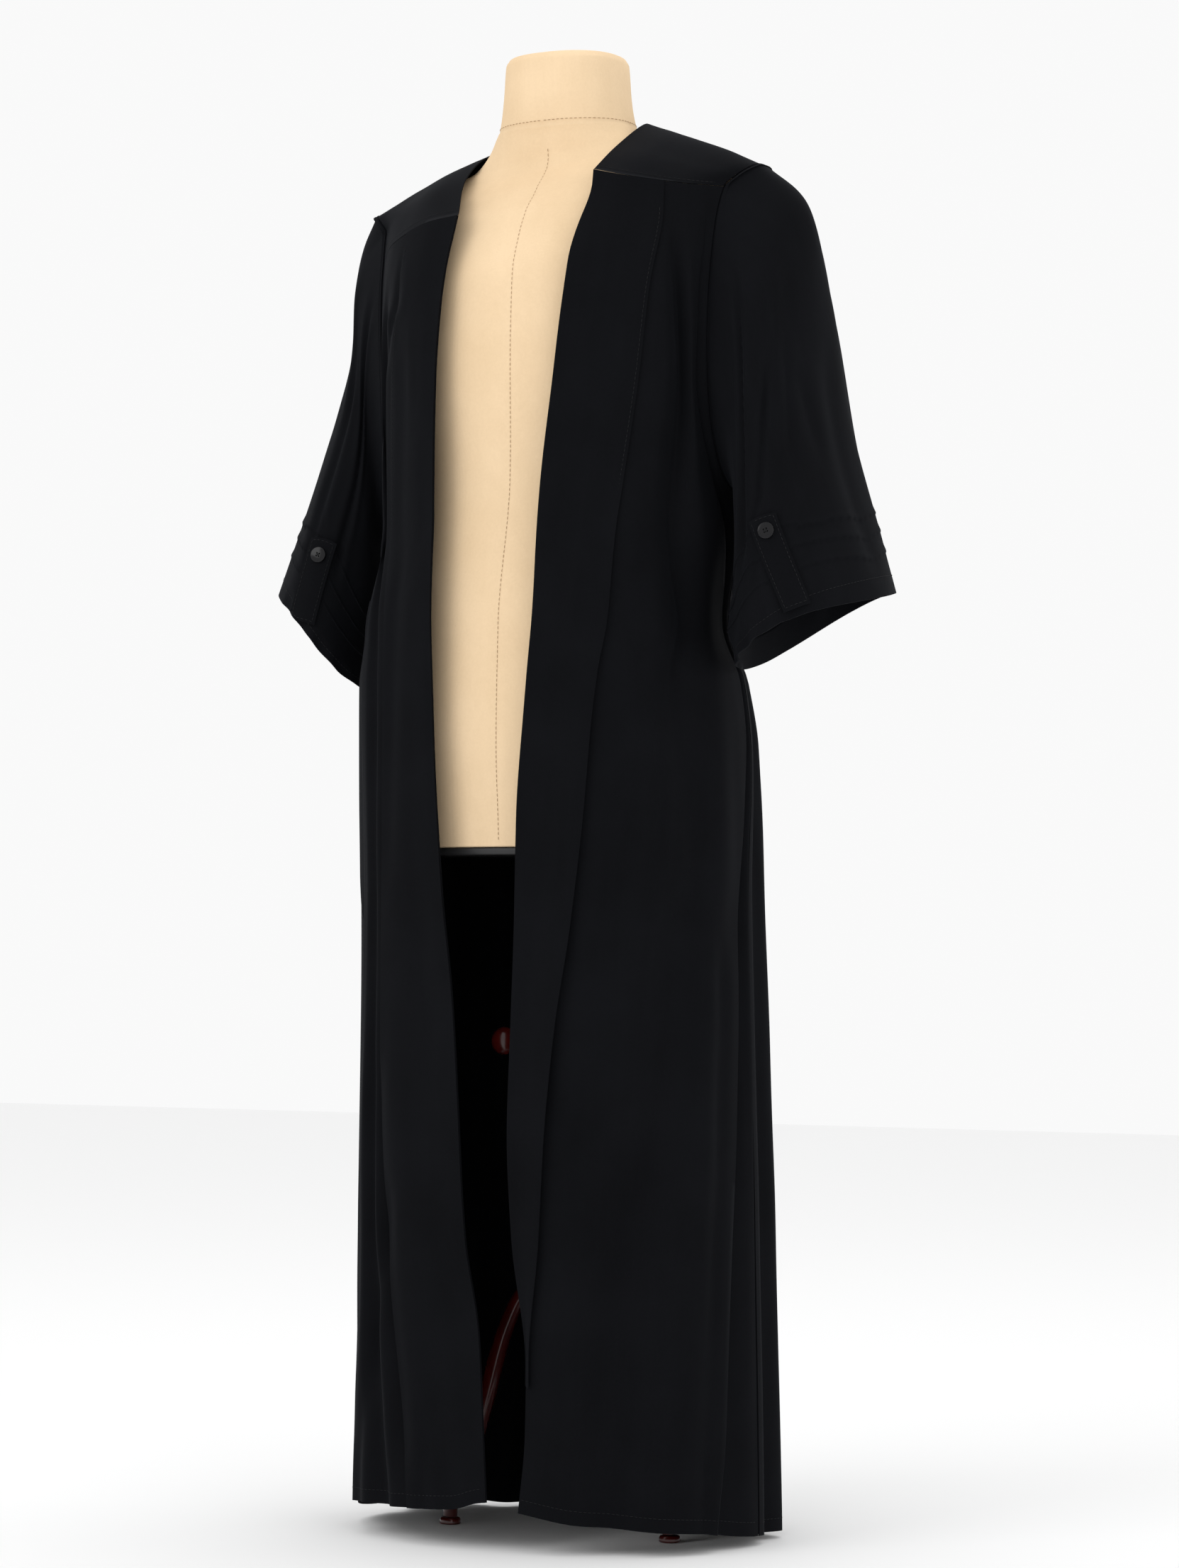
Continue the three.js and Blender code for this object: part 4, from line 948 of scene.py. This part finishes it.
def tabPoint(side, share, across, lift):
    # across is in millimetres, square to the tab's run
    spot = tabs[side]

    def centre(s):
        return mix(spot["angleTop"], spot["angleBottom"], s), mix(spot["top"], spot["bottom"], s)

    degrees, v = centre(share)
    run = sleevePoint(side, *centre(share + 0.05)) - sleevePoint(side, *centre(share - 0.05))
    around, down = sleeveWays(side, degrees, v)
    around, down = around / 2, down * 100
    perDegree, perLevel = down @ run, -(around @ run)
    length = np.linalg.norm(around * perDegree + down * perLevel) * np.sign(perDegree)
    points = []
    for step in np.atleast_1d(across):
        angle = degrees - step * perDegree / length
        level = min(v - step * perLevel / length, tab["lowest"])
        points.append(sleevePoint(side, angle, level) + sleeveNormal(side, angle, level) * lift)
    return np.array(points) if np.ndim(across) else points[0]


def makeTab(side, label, flat, area):
    rows = np.linspace(0, 1, 46)
    across = np.linspace(-1, 1, 13) * tab["halfWidth"]
    grid = np.array([tabPoint(side, row, across, tab["lift"] + 0.15 * math.sin(9 * row)) for row in rows])
    piece = clothPiece("tab_" + label + "_piece", grid, side, tab["thick"])
    finish(piece, blackCloth, "cloth", "tab_" + label)


# Seam allowances, as narrow tapes that lie inside the armhole and side seams
seamTape = {"thick": 1.0, "inside": 1.35, "over": 1.6, "armholeOver": 3.2,
            "armholeRows": 200, "sideRows": 240, "sideTop": 962}


def makeTape(name, edgeA, edgeB, inward, closed, over):
    # a tape between two edges of cloth, reaching under both by a little
    edgeA, edgeB, inward = (np.asarray(x, float) for x in (edgeA, edgeB, inward))
    middle = (edgeA + edgeB) / 2
    ahead = np.gradient(middle, axis=0)
    if closed:
        ahead = np.roll(middle, -1, 0) - np.roll(middle, 1, 0)
    ahead = unit(ahead)
    across = unit(np.cross(ahead, inward))
    inward = np.cross(across, ahead)
    half = np.abs(((edgeA - edgeB) * across).sum(1)) / 2 + over
    corners = []
    for share, depth in ((-1, 0), (-0.8, -0.35), (0.8, -0.35), (1, 0), (0.8, 0.65), (-0.8, 0.65)):
        corners.append(middle + across * (share * half)[:, None]
                       + inward * (seamTape["inside"] + depth * seamTape["thick"]))
    sides, count = len(corners), len(middle)
    verts = np.stack(corners, 1).reshape(-1, 3) / 1000
    faces = []
    for a in range(count if closed else count - 1):
        here, there = a * sides, (a + 1) % count * sides
        for k in range(sides):
            turned = (k + 1) % sides
            faces.append((here + k, here + turned, there + turned, there + k))
    if not closed:
        faces += [tuple(range(sides)), tuple(range((count - 1) * sides, count * sides))]
    piece = newPiece(name, verts.tolist(), [], faces)
    closeNormals(piece)
    rounded(piece, 80)
    finish(piece, seamCloth, "cloth")


def makeArmholeSeam(side, label):
    degrees = np.arange(seamTape["armholeRows"]) * 360 / seamTape["armholeRows"]
    sleeveEdge, bodyEdge = armholePoint(side, degrees), armholePoint(side, degrees, 0)
    inward = bodyEdge.mean(0) - bodyEdge
    inward[:, 0] = 0
    makeTape("armhole_" + label + "_seam", sleeveEdge, bodyEdge, unit(inward), True, seamTape["armholeOver"])


def edgeAtHeights(points, heights):
    order = np.argsort(points[:, 2])
    return np.stack([np.interp(heights, points[order, 2], points[order, k]) for k in range(3)], -1)


def makeSideSeam(side, label):
    rows = np.linspace(0, 1, 400)
    frontEdge, backEdge = frontPoint(side, 4.0, rows), backPoint(0.0 if side > 0 else 1.0, rows)
    low = max(frontEdge[:, 2].min(), backEdge[:, 2].min()) + 1.5
    high = seamTape["sideTop"] - (gown["rightDrop"] if side < 0 else 0)
    heights = np.linspace(low, high, seamTape["sideRows"])
    frontEdge, backEdge = edgeAtHeights(frontEdge, heights), edgeAtHeights(backEdge, heights)
    inward = np.tile((-float(side), 0.0, 0.0), (len(heights), 1))
    makeTape("side_" + label + "_seam", frontEdge, backEdge, inward, False, seamTape["over"])


print("gown pieces")
# each cut's greatest width and length and its area, in metres, measured on the modelled piece;
# the yoke's width and length are estimated
cuts = {
    "yoke": {"flat": (0.47, 0.30), "area": 0.081},
    "back": {"flat": (0.644, 1.23), "area": 0.639},
    "front": {1: {"flat": (0.276, 1.27), "area": 0.292}, -1: {"flat": (0.312, 1.22), "area": 0.280}},
    "band": {1: {"flat": (0.08, 1.12), "area": 0.0633}, -1: {"flat": (0.097, 1.195), "area": 0.0936}},
    "pocket": {1: {}, -1: {"flat": (0.027, 0.307), "area": 0.0075}},
    "sleeve": {1: {"flat": (0.70, 0.43), "area": 0.146}, -1: {"flat": (0.70, 0.377), "area": 0.121}},
    "tab": {1: {"flat": (0.028, 0.090), "area": 0.0024}, -1: {"flat": (0.029, 0.082), "area": 0.0022}},
}
makeYoke(**cuts["yoke"])
makeBack(**cuts["back"])
for side, label in ((1, "left"), (-1, "right")):
    makeFront(side, label, **cuts["front"][side])
    makeBand(side, label, **cuts["band"][side])
    makePocket(side, label, **cuts["pocket"][side])
    makeSleeve(side, label, **cuts["sleeve"][side])
    makeTab(side, label, **cuts["tab"][side])
    makeArmholeSeam(side, label)
    makeSideSeam(side, label)

# Stitches: short raised threads laid along a line on the cloth
stitch = {"length": 3.0, "gap": 1.4, "thick": 0.55, "proud": 0.28, "off": 0.1, "yokeOff": 0.3, "tabOff": 0.25}


def onRun(steps, rows, at):
    return np.array([np.interp(at, steps, rows[:, k]) for k in range(3)])


def stitchRun(points, normals):
    # thread pieces along a line of points in millimetres
    points, normals = np.asarray(points, float), np.asarray(normals, float)
    steps = np.concatenate([[0], np.cumsum(np.linalg.norm(np.diff(points, axis=0), axis=1))])
    verts, faces = [], []
    at = stitch["gap"]
    while at + stitch["length"] < steps[-1]:
        ends = [onRun(steps, points, at + d) for d in (0, stitch["length"])]
        up = unit(onRun(steps, normals, at + stitch["length"] / 2))
        run = unit(ends[1] - ends[0])
        side = np.cross(up, run)
        half, middle = stitch["thick"] / 2, (ends[0] + ends[1]) / 2 + up * stitch["proud"]
        first = len(verts)
        for centre, size in ((ends[0] - up * 0.1, 0.5), (middle, 1), (ends[1] - up * 0.1, 0.5)):
            for a, b in ((-1, 0), (0, 1), (1, 0), (0, -1)):
                verts.append(centre + side * a * half * size + up * b * half * 0.8 * size)
        for ring in (0, 4):
            for k in range(4):
                a, b = first + ring + k, first + ring + (k + 1) % 4
                faces.append((a, a + 4, b + 4, b))
        faces.append((first, first + 1, first + 2, first + 3))
        faces.append((first + 11, first + 10, first + 9, first + 8))
        at += stitch["length"] + stitch["gap"]
    return verts, faces


def makeStitches(name, runs, material, slot):
    verts, faces = [], []
    for points, normals in runs:
        more, quads = stitchRun(points, normals)
        faces += [tuple(k + len(verts) for k in quad) for quad in quads]
        verts += more
    piece = newPiece(name, [tuple(p / 1000) for p in verts], [], faces)
    closeNormals(piece)
    rounded(piece, 60)
    finish(piece, material, slot)
    print(name, len(faces), "faces")


def alongPanel(side, line, off):
    # a run on a front panel: line is rows of column and level
    t, v = np.array(line, float).T
    points = frontPoint(side, t, v, off)
    return points, frontPoint(side, t, v, off + 1) - points


def alongHem(side):
    # a run above the hem of a front panel
    v = 1 - 0.0105
    t = np.linspace(0.04, 3.96, 260)
    off = np.where((t < 1) & (side < 0), gown["bandLift"] + 2 * smooth(t * gown["bandFade"] - 0.2), 0)
    off = off + stitch["off"]
    points = frontPoint(side, t, v + 0 * t, off)
    return points, frontPoint(side, t, v + 0 * t, off + 1) - points


print("stitching")
runs = []
for side, high, low in ((1, 0.02, 0.262), (-1, 0.01, 0.30)):
    line = [(0.955, v) for v in np.linspace(high, low, 90)]
    runs.append(alongPanel(side, line, gown["bandLift"] + stitch["off"]))
makeStitches("pleat_stitches", runs, gownThread, "cloth")
backT = np.linspace(0.01, 0.99, 400)
backRun = backPoint(backT, 0.99 + 0 * backT)
backOut = unit(np.cross(np.gradient(backRun, axis=0), (0, 0, 1)))
backOut *= np.sign((backOut * backRun)[:, :2].sum(1))[:, None]
runs = [alongHem(1), alongHem(-1), (backRun + backOut * stitch["off"], backOut)]
makeStitches("hem_stitches", runs, gownThread, "cloth")


def yokeRun(spots, aside, ahead, axis):
    # a run on the yoke through spots of share round it and share across it; its normals point up an axis
    line, asides, aheads = (np.array([yokePoint(u + du, r + dr) for u, r in spots])
                            for du, dr in ((0, 0), aside, ahead))
    out = unit(np.cross(aheads - line, asides - line))
    out *= np.sign(out[:, axis])[:, None]
    return line + out * stitch["yokeOff"], out


runs = []
for end, step in ((0.012, 0.004), (0.988, -0.004)):
    runs.append(yokeRun([(end, r) for r in np.linspace(0.03, 0.97, 60)], (step, 0), (0, 0.004), 2))
backShare = np.linspace(yokeBackFrom + 0.006, 1 - yokeBackFrom - 0.006, 160)
runs.append(yokeRun([(u, 0.975) for u in backShare], (0, -0.02), (0.002, 0), 1))
makeStitches("yoke_stitches", runs, gownThread, "cloth")

runs = []
for side in (1, -1):
    degrees = np.arange(0, 361, 1.5)
    points = sleeveSurface(side, degrees, sleeve["hemStitch"], 0.1)
    runs.append((points, sleeveNormal(side, degrees, sleeve["hemStitch"])))
makeStitches("sleeve_stitches", runs, gownThread, "cloth")
runs = []
for side in (1, -1):
    edge = tab["halfWidth"] - tab["stitch"]
    inset = tab["stitch"] / tab["length"]
    shares = np.linspace(inset, 1 - inset, 60)
    path = [(share, -edge) for share in shares] + [(1 - inset, a) for a in np.linspace(-edge, edge, 20)]
    path += [(share, edge) for share in shares[::-1]] + [(inset, a) for a in np.linspace(edge, -edge, 20)]
    lift = tab["lift"] + stitch["tabOff"]
    points = np.array([tabPoint(side, share, a, lift) for share, a in path])
    runs.append((points, np.array([tabPoint(side, share, a, lift + 1) for share, a in path]) - points))
makeStitches("tab_stitches", runs, gownThread, "cloth")

# Buttons: four holes, a dished face and crossed thread
button = {"radius": 7.5, "thick": 3.0, "rim": 1.3, "dish": 0.9, "hole": 0.85, "holeAt": 1.75, "sides": 64}


def buttonFrame(side):
    spot = tabs[side]
    share = (spot["button"] - spot["top"]) / (spot["bottom"] - spot["top"])
    centre = tabPoint(side, share, 0.0, tab["lift"] + 0.35)
    top, low = tabPoint(side, share - 0.02, 0.0, tab["lift"]), tabPoint(side, share + 0.02, 0.0, tab["lift"])
    up = Vector(tabPoint(side, share, 0.0, tab["lift"] + 1.35) - centre).normalized()
    across = Vector(low - top).cross(up).normalized()
    down = up.cross(across)
    turn = Matrix((across, down, up)).transposed().to_4x4()
    return Matrix.Translation(Vector(centre) / 1000) @ turn @ Matrix.Scale(0.001, 4)


def makeButton(side, label):
    b = button
    bpy.ops.mesh.primitive_cylinder_add(vertices=b["sides"], radius=b["radius"], depth=b["thick"],
                                        location=(0, 0, b["thick"] / 2))
    piece = fixed("button_" + label + "_disc")
    for polygon in piece.data.polygons:
        polygon.select = polygon.normal.z > 0.9
    startEdit(piece)
    bpy.ops.mesh.inset(thickness=b["rim"])
    bpy.ops.mesh.inset(thickness=0.5)
    bpy.ops.transform.translate(value=(0, 0, -b["dish"]))
    bpy.ops.object.mode_set(mode="OBJECT")
    applied(piece, "BEVEL", width=0.55, segments=3, limit_method="ANGLE", angle_limit=math.radians(40))
    for k in range(4):
        turn = math.radians(45 + 90 * k)
        spot = (b["holeAt"] * math.cos(turn), b["holeAt"] * math.sin(turn), b["thick"] / 2)
        bpy.ops.mesh.primitive_cylinder_add(vertices=20, radius=b["hole"], depth=b["thick"] * 3,
                                            location=spot)
        drill = fixed("drill")
        applied(piece, "BOOLEAN", operation="DIFFERENCE", object=drill, solver="EXACT")
        bpy.data.objects.remove(drill)
    place(piece, buttonFrame(side))
    rounded(piece, 35)
    finish(piece, glossButton, "button", "button_" + label)
    top = b["thick"] - b["dish"] + 0.25
    reach = b["holeAt"] * math.cos(math.pi / 4)
    into = Vector((0, 0, 1.2))          # how far a thread's end goes into its hole
    verts, faces = [], []
    for apart, way in ((-0.25, 1), (-0.25, -1), (0.25, 1), (0.25, -1)):
        start = Vector((-reach, -way * reach + apart, top))
        end = Vector((reach, way * reach + apart, top))
        aside = Vector((0, 0, 1)).cross(end - start).normalized() * 0.2
        first = len(verts)
        middle = (start + end) / 2
        for point, high in ((start - into, 0.1), (start, 0.1), (middle, 0.4), (end, 0.1), (end - into, 0.1)):
            lift = Vector((0, 0, high))
            verts += [point - aside + lift, point + lift * 1.5, point + aside + lift, point + lift * 0.2]
        for ring in range(4):
            for k in range(4):
                c, d = first + 4 * ring + k, first + 4 * ring + (k + 1) % 4
                faces.append((c, c + 4, d + 4, d))
        faces += [(first, first + 1, first + 2, first + 3), (first + 19, first + 18, first + 17, first + 16)]
    threads = newPiece("button_" + label + "_thread", verts, [], faces)
    place(threads, buttonFrame(side))
    closeNormals(threads)
    rounded(threads, 60)
    finish(threads, gownThread, "cloth")


print("buttons")
makeButton(1, "left")
makeButton(-1, "right")

# Dress form
formSections = {
    "z": [641, 734, 844, 974, 1084, 1164, 1209, 1236, 1252,
          1262, 1272, 1283, 1294, 1306, 1320, 1345, 1376, 1382],
    "half": [154, 152, 141, 144, 156, 164, 170, 177, 182, 178, 162, 132, 97, 75, 65, 60, 57, 54],
    "front": [116, 117, 113, 107, 112, 109, 97, 84, 70, 62, 52, 43, 40, 42, 47, 50, 50, 47],
    "back": [114, 110, 98, 96, 103, 103, 99, 91, 80, 73, 66, 61, 57, 54, 54, 54, 54, 51],
    "shift": [-10, -12, -12, -3, 0, 0, 0, 0, 0, 0, 0, 0, 0, 0, 0, 0, 0, 0],
}
form = {
    "around": 192,
    "grooveDepth": 0.7,
    "grooveWidth": 1.1,
    "meanRadius": 110,
    "neckSeam": 1316,
    "hemRoll": 2.0,
    "topRoll": 1.2,
    "plateThick": 7,
    "plateInset": 2,
}


def formPoint(degrees, z, lift=0.0):
    degrees, z = np.broadcast_arrays(np.asarray(degrees, float), np.asarray(z, float))
    point = np.array(sectionPoint(formSections, degrees, z, lift))
    weight = smooth((z - 1164) / 70) * (1 - smooth((z - 1292) / 20))
    point[..., 2] -= dropped(point[..., 0]) * weight
    return point


def seamPull(degrees, z):
    # how deep the cover sinks along its seams: centre front, centre back, panels and the foot of the neck
    pull = np.zeros(np.broadcast(degrees, z).shape)
    for centre in (0, 180, 46, -46, 140, -140, 92, -92):
        gap = np.radians((degrees - centre + 180) % 360 - 180) * form["meanRadius"]
        pull = pull + np.exp(-(gap / form["grooveWidth"]) ** 2) * np.where(z < form["neckSeam"], 1, 0.5)
    return pull + np.exp(-((z - form["neckSeam"]) / form["grooveWidth"]) ** 2)


def makeForm():
    low, high = formSections["z"][0], formSections["z"][-1]
    heights = np.concatenate([[low, low + 0.7], np.linspace(low + 2, 1230, 118),
                              np.linspace(1232, high - 1, 90), [high]])
    degrees = np.arange(form["around"]) * 360 / form["around"]
    sink = -form["grooveDepth"] * seamPull(degrees[None, :], heights[:, None])
    sink[0] -= form["hemRoll"]
    sink[-1] -= form["topRoll"]
    grid = formPoint(degrees[None, :], heights[:, None], sink)
    top = grid[-1].mean(0) + (0, 0, 1.5)
    caps = [grid[-1] * (1 - s) + top * s for s in (0.12, 0.4, 0.7)]
    rings = np.concatenate([grid, np.array(caps)])
    count, around = rings.shape[:2]
    points = np.concatenate([rings.reshape(-1, 3), [grid[0].mean(0)], [top]]) / 1000
    i, j = np.meshgrid(np.arange(count - 1), np.arange(around), indexing="ij")
    quads = np.stack([i * around + j, i * around + (j + 1) % around,
                      (i + 1) * around + (j + 1) % around, (i + 1) * around + j], -1).reshape(-1, 4).tolist()
    end, last = count * around, (count - 1) * around
    caps = [(end, (k + 1) % around, k) for k in range(around)]
    caps += [(end + 1, last + k, last + (k + 1) % around) for k in range(around)]
    piece = newPiece("form_cover", points.tolist(), [], quads + caps)
    rounded(piece, 60)
    finish(piece, formCloth, "form", "form_torso")


print("dress form")
makeForm()
degrees = np.linspace(0, 360, 241)
neckRun = formPoint(degrees, form["neckSeam"] + 2.2, 0.1)
runs = [(neckRun, neckRun * (1, 1, 0))]
heights = np.linspace(646, 1300, 200)
centre = formPoint(0.9, heights, 0.1)
runs.append((centre, np.tile((0.0, -1.0, 0.0), (len(heights), 1))))
makeStitches("form_stitches", runs, seamThread, "form")

# Base plate and stand
stand = {
    "poleRadius": 14, "poleChamfer": 3, "poleBottom": 179, "bore": 14.3,
    "hub": [(22, 190), (30, 198), (30, 222), (27.5, 226), (30, 230), (30, 244), (23, 250), (21, 256)],
    "collar": [(20, 444), (23, 447), (23, 455), (21.8, 457), (21.8, 465), (23, 467), (23, 475), (20, 478)],
    "stemRadius": 4.5, "stemFrom": 23.3,
    "knobRadius": 13, "knobReach": 66, "knobHeight": 461, "knobTurn": -122,
    "knobFlat": 0.0122,          # in metres from the ball's centre
    "legTurns": [-172, -8, 90], "legRadius": 8.6, "footReach": 120, "footRadius": 10, "footHeight": 6,
    "legPath": [(31, 226), (42, 225), (62, 190), (82, 124), (102, 56), (119, 17), (120, 7.2)],
}


sameSpot = 0.00002     # points nearer than this, in metres, become one


def spun(name, profile, steps=72):
    # a profile of radius and height in millimetres, spun round the pole's axis
    points = [(r / 1000, 0, z / 1000) for r, z in profile]
    piece = newPiece(name, points, [(k, k + 1) for k in range(len(points) - 1)], [])
    startEdit(piece)
    bpy.ops.mesh.select_all(action="SELECT")
    bpy.ops.mesh.spin(steps=steps, angle=2 * math.pi, center=(0, 0, 0), axis=(0, 0, 1))
    bpy.ops.object.mode_set(mode="OBJECT")
    closeNormals(piece, sameSpot)
    return piece


def ringProfile(bore, outline):
    return [(bore, outline[0][1]), *outline, (bore, outline[-1][1]), (bore, outline[0][1])]


def makeStand():
    s = stand
    plateTop = formSections["z"][0] - 0.3
    poleTop = plateTop - form["plateThick"] - 0.3
    radius, chamfer, low = s["poleRadius"], s["poleChamfer"], s["poleBottom"]
    pole = spun("pole", [(0, low), (radius - chamfer, low), (radius, low + chamfer),
                         (radius, poleTop), (0, poleTop)])
    rounded(pole, 35)
    finish(pole, redLacquer, "wood", "stand_pole")
    for name, key, material, slot, stood in (("hub", "hub", redLacquer, "wood", "stand_hub"),
                                             ("collar", "collar", blackPaint, "metal", "clamp_collar")):
        piece = spun(name, ringProfile(s["bore"], s[key]))
        applied(piece, "BEVEL", width=0.0006, segments=2, limit_method="ANGLE", angle_limit=math.radians(30))
        rounded(piece, 35)
        finish(piece, material, slot, stood)
    turn = math.radians(s["knobTurn"])
    away, high = Vector((math.cos(turn), math.sin(turn), 0)), Vector((0, 0, s["knobHeight"] / 1000))
    centre = away * s["knobReach"] / 1000 + high
    bpy.ops.mesh.primitive_uv_sphere_add(segments=64, ring_count=40, radius=s["knobRadius"] / 1000,
                                         location=tuple(centre))
    knob = fixed("clamp_ball")
    for vertex in knob.data.vertices:          # a small flat where the stem enters
        reach = (vertex.co - centre).dot(-away)
        if reach > s["knobFlat"]:
            vertex.co += away * (reach - s["knobFlat"])
    rounded(knob, 60)
    finish(knob, redLacquer, "wood", "clamp_knob")
    stemFrom, stemTo = s["stemFrom"], s["knobReach"] - s["knobRadius"] - 0.5
    bpy.ops.mesh.primitive_cylinder_add(vertices=40, radius=s["stemRadius"] / 1000,
                                        depth=(stemTo - stemFrom) / 1000, rotation=(0, math.pi / 2, turn),
                                        location=tuple(away * (stemFrom + stemTo) / 2000 + high))
    stem = fixed("clamp_screw")
    applied(stem, "BEVEL", width=0.0005, segments=2, limit_method="ANGLE", angle_limit=math.radians(40))
    rounded(stem, 35)
    finish(stem, blackPaint, "metal", "clamp_stem")
    for k, degrees in enumerate(s["legTurns"]):
        makeLeg(k + 1, math.radians(degrees))
    makePlate(plateTop)


def makeLeg(number, turn):
    s = stand
    path = [(r, 0, z) for r, z in s["legPath"]]
    rows = np.array([throughPoints(path, share) for share in np.linspace(0, 1, 40)])
    curve = bpy.data.curves.new("leg_path", "CURVE")
    curve.dimensions = "3D"
    curve.bevel_depth = s["legRadius"] / 1000
    curve.bevel_resolution = 8
    curve.use_fill_caps = True
    line = curve.splines.new("POLY")
    line.points.add(len(rows) - 1)
    for point, (r, _, z) in zip(line.points, rows):
        point.co = (r * math.cos(turn) / 1000, r * math.sin(turn) / 1000, z / 1000, 1)
        point.radius = 0.86 + 0.14 * math.cos(2.4 * (z - 120) / 120)
    leg = bpy.data.objects.new("leg_" + str(number), curve)
    bpy.context.scene.collection.objects.link(leg)
    selectOnly(leg)
    bpy.ops.object.convert(target="MESH")
    leg = bpy.context.object
    closeNormals(leg, sameSpot)
    rounded(leg, 40)
    finish(leg, redLacquer, "wood", "stand_leg_" + str(number))
    radius, height = s["footRadius"], s["footHeight"]
    foot = spun("foot_" + str(number), [(0, 0), (radius - 0.6, 0), (radius, 0.8), (radius, height - 2),
                                        (radius - 0.8, height - 0.6), (radius - 2, height), (0, height)], 48)
    reach = s["footReach"]
    place(foot, Matrix.Translation((reach * math.cos(turn) / 1000, reach * math.sin(turn) / 1000, 0)))
    rounded(foot, 35)
    finish(foot, redLacquer, "wood", "stand_foot_" + str(number))


def makePlate(top):
    # the dark plate that closes the form from below
    around = 128
    degrees = np.arange(around) * 360 / around
    bpy.ops.mesh.primitive_circle_add(vertices=around, radius=0.1, fill_type="NGON")
    plate = bpy.context.object
    plate.name = "form_plate"
    outline = sectionPoint(formSections, degrees, 641.0, -form["plateInset"])
    for vertex, point in zip(plate.data.vertices, outline):
        vertex.co = (point[0] / 1000, point[1] / 1000, (top - form["plateThick"]) / 1000)
    startEdit(plate)
    bpy.ops.mesh.select_all(action="SELECT")
    bpy.ops.mesh.extrude_region_move(TRANSFORM_OT_translate={"value": (0, 0, form["plateThick"] / 1000)})
    bpy.ops.object.mode_set(mode="OBJECT")
    closeNormals(plate)
    applied(plate, "BEVEL", width=0.0018, segments=3, limit_method="ANGLE", angle_limit=math.radians(40))
    rounded(plate, 35)
    finish(plate, blackPaint, "metal", "form_base")


print("stand")
makeStand()

# Studio: a pale floor and soft light
studio = {"floor": 14.0, "floorColor": (0.93, 0.93, 0.93), "world": 0.95,
          "lights": [("key", (-1.6, -3.4, 3.0), 2.2, 34), ("fill", (3.2, -2.0, 1.6), 2.0, 14),
                     ("top", (0.2, 0.6, 3.6), 2.4, 16)]}


def makeStudio():
    bpy.context.scene.view_settings.view_transform = "Standard"
    bpy.ops.mesh.primitive_grid_add(x_subdivisions=2, y_subdivisions=2, size=studio["floor"],
                                    location=(0, 0, -0.0005))
    floor = bpy.context.object
    floor.name = "floor"
    material, _, _, shader = newMaterial("pale floor")
    shader.inputs["Base Color"].default_value = (*studio["floorColor"], 1)
    shader.inputs["Roughness"].default_value = 0.9
    floor.data.materials.append(material)
    world = bpy.data.worlds.new("studio")
    world.use_nodes = True
    background = world.node_tree.nodes["Background"]
    background.inputs["Color"].default_value = (1, 1, 1, 1)
    background.inputs["Strength"].default_value = studio["world"]
    bpy.context.scene.world = world
    for name, spot, size, power in studio["lights"]:
        data = bpy.data.lights.new(name, "AREA")
        data.size = size
        data.energy = power
        light = bpy.data.objects.new(name, data)
        bpy.context.scene.collection.objects.link(light)
        light.location = spot
        light.rotation_euler = (Vector((0, 0, 0.75)) - Vector(spot)).to_track_quat("-Z", "Y").to_euler()


makeStudio()
